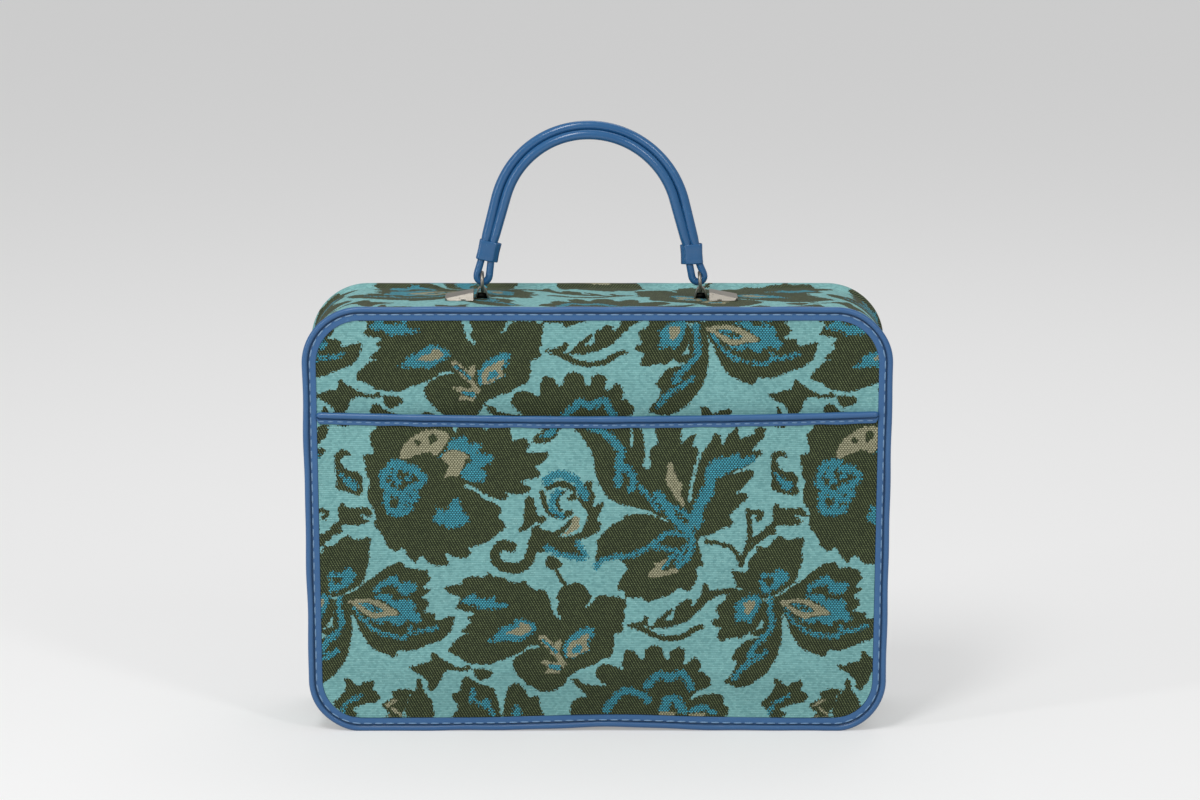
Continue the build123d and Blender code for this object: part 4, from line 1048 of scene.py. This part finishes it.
def wireRing(name, side, lean, node):  # hangs in its staple, drawn aside by the handle
    around = np.linspace(0, math.tau, ring["points"], endpoint=False)[:, None]
    about = np.linspace(0, math.tau, ring["sides"], endpoint=False)[None, :]
    reach = ring["radius"] + ring["wire"] * np.cos(about)
    x = ring["wire"] * np.sin(about)
    y = reach * np.sin(around)
    z = ring["radius"] - reach * np.cos(around)
    tilt = math.radians(lean)
    aside = (ring["radius"] / 2 - z) * math.sin(tilt)
    points = np.stack([x * math.cos(tilt) + aside + side * handle["ringX"] + handle["offset"], y,
                       z * math.cos(tilt) + x * math.sin(tilt) + ring["low"]], -1)
    surface(name, points, "nickel", "handle", [node], wrapRows=True, wrapColumns=True)


wireRing("ringLeft", -1, ring["left"], "ring_left")
wireRing("ringRight", 1, ring["right"], "ring_right")
print("handle bent")

# Staples that hold the rings, bent from sheet, with painted shade inside each hoop and a near-black plate behind
# the lower half of it that stands for the shade in the arch
staple = {"high": 7.8, "crown": 6.0, "foot": 9.2, "deep": 5.0, "sheet": 0.9, "sunk": 0.6, "round": 0.2,
          "bend": (172, 8), "shade": [0, 0, 0, 0.6, 1.0, 0.6, 0, 0, 0, 0],
          "shadePlateX": (-4.1, -3.3, 0.0, 3.3, 4.1), "shadePlateZ": (0.0, 3.2, 3.45, 3.2, 0.0), "shadePlateY": (1.5, 2.1)}


def stapleHoop(name, side, node):
    rise = staple["high"] - staple["crown"] / 2
    outer = [(-staple["foot"] / 2, -staple["sunk"])]
    outer += arc((0, rise), staple["crown"] / 2, *staple["bend"], 22)
    outer = np.array(outer + [(staple["foot"] / 2, -staple["sunk"])])
    along = np.gradient(outer, axis=0)
    along /= np.linalg.norm(along, axis=1, keepdims=True)
    within = outer + np.stack([along[:, 1], -along[:, 0]], -1) * staple["sheet"]
    half = staple["deep"] / 2
    edge = half - staple["round"]
    section = [(0.0, -edge), (0.25, -half), (0.75, -half), (1.0, -edge), (1.0, 0.0),
               (1.0, edge), (0.75, half), (0.25, half), (0.0, edge), (0.0, 0.0)]  # share of the sheet, and depth
    share, y = np.array(section).T
    x, z = (outer[:, axis, None] + (within - outer)[:, axis, None] * share for axis in (0, 1))
    place = np.array([side * handle["ringX"] + handle["offset"], 0, handle["gusset"]])
    hoop = closeEnds(np.stack([x, np.broadcast_to(y, x.shape), z], -1) + place)
    surface(name, hoop, "nickel", "case", [node], wrapColumns=True,
            signals=seam(staple["shade"], len(hoop)), flip=True)
    # the plate is painted shade: near black all over, standing for the dark inside of the arch
    near, far = staple["shadePlateY"]
    foot = -0.4
    shadePlate = np.array([[(x, y, z) for y, z in ((near, foot), (near, high), (far, high), (far, foot))]
                       for x, high in zip(staple["shadePlateX"], staple["shadePlateZ"])])
    shadePlate = closeEnds(shadePlate + place)
    surface(name + "Tongue", shadePlate, "nickel", "case", wrapColumns=True,
            signals=seam([1, 1, 1, 1], len(shadePlate)))


stapleHoop("stapleLeft", -1, "staple_left")
stapleHoop("stapleRight", 1, "staple_right")

# Hinge strip along the lid's lower edge, as one sheet; its section is in (depth, height)
def hingeStrip():
    axis = hinge["axis"]
    outer = [(50.15, 4.0), (51.3, 4.02), (52.1, 4.4), (52.38, 5.4), (52.42, 7.0), (52.34, 9.5), (52.3, 11.6)]
    outer += [(52.3 - 0.25 * math.exp(-((z - axis) / 0.8) ** 2), z) for z in np.arange(12.4, 16.8, 0.3)]
    outer += [(52.32, 18.0), (52.36, 21.0), (52.34, 25.0), (52.6, 26.0), (53.0, 26.9), (53.22, 29.0), (53.24, 32.0),
              (53.12, 34.1), (52.9, 34.5), (52.36, 34.55)]
    inner = [(52.32, 26.8), (51.9, 26.3), (51.5, 25.6), (51.5, 18.0)]
    inner += [(51.5, z) for z in np.arange(16.6, 12.3, -0.3)]
    inner += [(51.5, 10.0), (51.45, 8.5), (51.0, 7.95), (50.12, 7.85)]
    depth, height = np.array(outer + inner).T
    x = np.linspace(-hinge["half"], hinge["half"], hinge["columns"])[:, None]
    points = closeEnds(np.stack(np.broadcast_arrays(x, depth, height), -1))
    strip = surface("hingeStrip", points, "trim", "case", ["hinge_strip", "lid_hinge_strip"],
                    wrapColumns=True)
    strip.parent = None
    strip.matrix_world.identity()
    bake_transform(strip)
    marks = np.arange(-hinge["half"] + hinge["end"], hinge["half"] - hinge["end"] + 1, hinge["pitch"])
    for body, (depth, height) in hinge["rows"].items():
        straightStitches(body + "HingeStitches", marks, depth, height, 1.0, hinge["stitch"], body)


hingeStrip()

# Vinyl corners that close the case beside the hinge and hold the zip's ends
corner = {"outer": 8.1, "inner": 22.8, "start": 150.0, "top": {1: 30.0, -1: 48.4}, "step": 1.0,
          "stitchInset": (10.6, 20.4), "stitchDepth": 50.24, "stitchPitch": 6.4, "stitch": (3.0, 0.4, 0.3)}


def cornerTab(name, side, node):
    outer, inner = corner["outer"], corner["inner"]
    section = [(outer, 49.7), (outer + 0.15, 49.34), (inner - 0.2, 49.34), (inner, 49.6), (inner - 0.2, 50.05)]
    section += [(inner - 2 - step, 50.2 + 0.06 * math.sin(step)) for step in np.linspace(0, 10, 8)]
    section += [(outer + 0.3, 50.08)]
    points, places = sweepOutline(section, corner["step"])[:2]
    kept = np.nonzero((places[:, 0] * side > corner["start"]) & (places[:, 1] < corner["top"][side]))[0]
    strip = closeEnds(points[kept[0]:kept[-1] + 1])
    surface(name, strip, "trim", "case", [node], wrapColumns=True, flip=True)
    for number, inset in enumerate(corner["stitchInset"]):
        centres, ahead, out = alongOutline(inset, corner["stitchDepth"], corner["stitchPitch"], 1)
        held = (centres[:, 0] * side > hinge["half"] + 2) & (centres[:, 2] < corner["top"][side] - 2)
        stitches(name + "Stitches" + str(number), centres[held], ahead[held], out[held], corner["stitch"], "case")


cornerTab("cornerTabRight", 1, "zip_end_patch_right")
cornerTab("cornerTabLeft", -1, "zip_end_patch_left")

# Finishes of the parts that stay as they are
finishes = {
    "nickel": ["bracket_cap_left", "bracket_cap_right"],
    "zipMetal": ["zip_teeth_case", "zip_teeth_lid", "zip_slider", "zip_pull"],
    "steel": ["handle_plate"],
    "tape": ["zip_tape_case", "zip_tape_lid"],
    "lining": ["case_lining", "lid_lining"],
    "board": ["gusset_board", "front_board", "lid_board"],
}
for look, nodes in finishes.items():
    for node in nodes:
        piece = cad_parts[node]
        piece.data.materials.clear()
        piece.data.materials.append(looks[look])
print("finishes laid")

# Studio: a pale floor, a soft world and four soft lamps (place, size, watts) that face the case
studio = {"floor": 0.6, "glow": 0.33, "world": 0.42, "aim": (0, 0, 0.16),
          "key": ((-0.6, -1.5, 2.3), (0.5, 1.2), 24.0), "fill": ((1.2, -1.8, 1.5), (0.3, 1.1), 11.0),
          "back": ((0.3, 1.2, 1.8), (1.2, 1.2), 6.0), "strip": ((-1.6, -1.1, 0.9), (0.2, 1.6), 9.0)}


def floorMaterial():  # pale to the camera and to reflections, plain grey to the light
    material, wire, shader = newMaterial("studioFloor", Roughness=0.9, Specular_IOR_Level=0.1)
    shader.inputs["Base Color"].default_value = (studio["floor"], studio["floor"], studio["floor"], 1)
    isCamera, isGlossy, isTransmission = (wire.make("ShaderNodeLightPath", out=number) for number in (0, 3, 6))
    seen = (isCamera + isGlossy + isTransmission).clamp()
    glow = wire.make("ShaderNodeEmission", {}, {"Color": (1, 1, 1, 1), "Strength": seen * studio["glow"]})
    both = wire.make("ShaderNodeAddShader", {}, {0: Wire(wire.tree, shader.outputs[0]), 1: glow})
    output = next(node for node in wire.tree.nodes if node.type == "OUTPUT_MATERIAL")
    wire.tree.links.new(both.socket, output.inputs["Surface"])
    return material


def makeStudio():
    mesh = bpy.data.meshes.new("studioFloor")
    build = bmesh.new()
    build.faces.new([build.verts.new((x, y, 0)) for x, y in ((-9, -7), (9, -7), (9, 12), (-9, 12))])
    build.to_mesh(mesh)
    build.free()
    floor = bpy.data.objects.new("studioFloor", mesh)
    bpy.context.scene.collection.objects.link(floor)
    mesh.materials.append(floorMaterial())
    world = bpy.data.worlds.new("studioWorld")
    bpy.context.scene.world = world
    world.use_nodes = True
    world.node_tree.nodes["Background"].inputs["Color"].default_value = (1, 1, 1, 1)
    world.node_tree.nodes["Background"].inputs["Strength"].default_value = studio["world"]
    for name in ("key", "fill", "back", "strip"):
        place, size, power = studio[name]
        light = bpy.data.lights.new(name, "AREA")
        light.shape = "RECTANGLE"
        light.size, light.size_y = size
        light.energy = power
        lamp = bpy.data.objects.new(name, light)
        lamp.location = place
        aim = Vector(studio["aim"]) - Vector(place)
        lamp.rotation_euler = aim.to_track_quat("-Z", "Y").to_euler()
        bpy.context.scene.collection.objects.link(lamp)


makeStudio()
camera = {"place": (0.00165, -3.501975, 0.857), "pitch": 10.45, "lens": 162.9, "sensor": 36}
lens = bpy.data.cameras.new("photoView")
lens.lens = camera["lens"]
lens.sensor_width = camera["sensor"]
viewer = bpy.data.objects.new("photoView", lens)
viewer.location = camera["place"]
viewer.rotation_euler = (math.radians(90 - camera["pitch"]), 0, 0)
bpy.context.scene.collection.objects.link(viewer)
bpy.context.scene.camera = viewer
bpy.context.scene.view_settings.view_transform = "Standard"
print("studio lit")
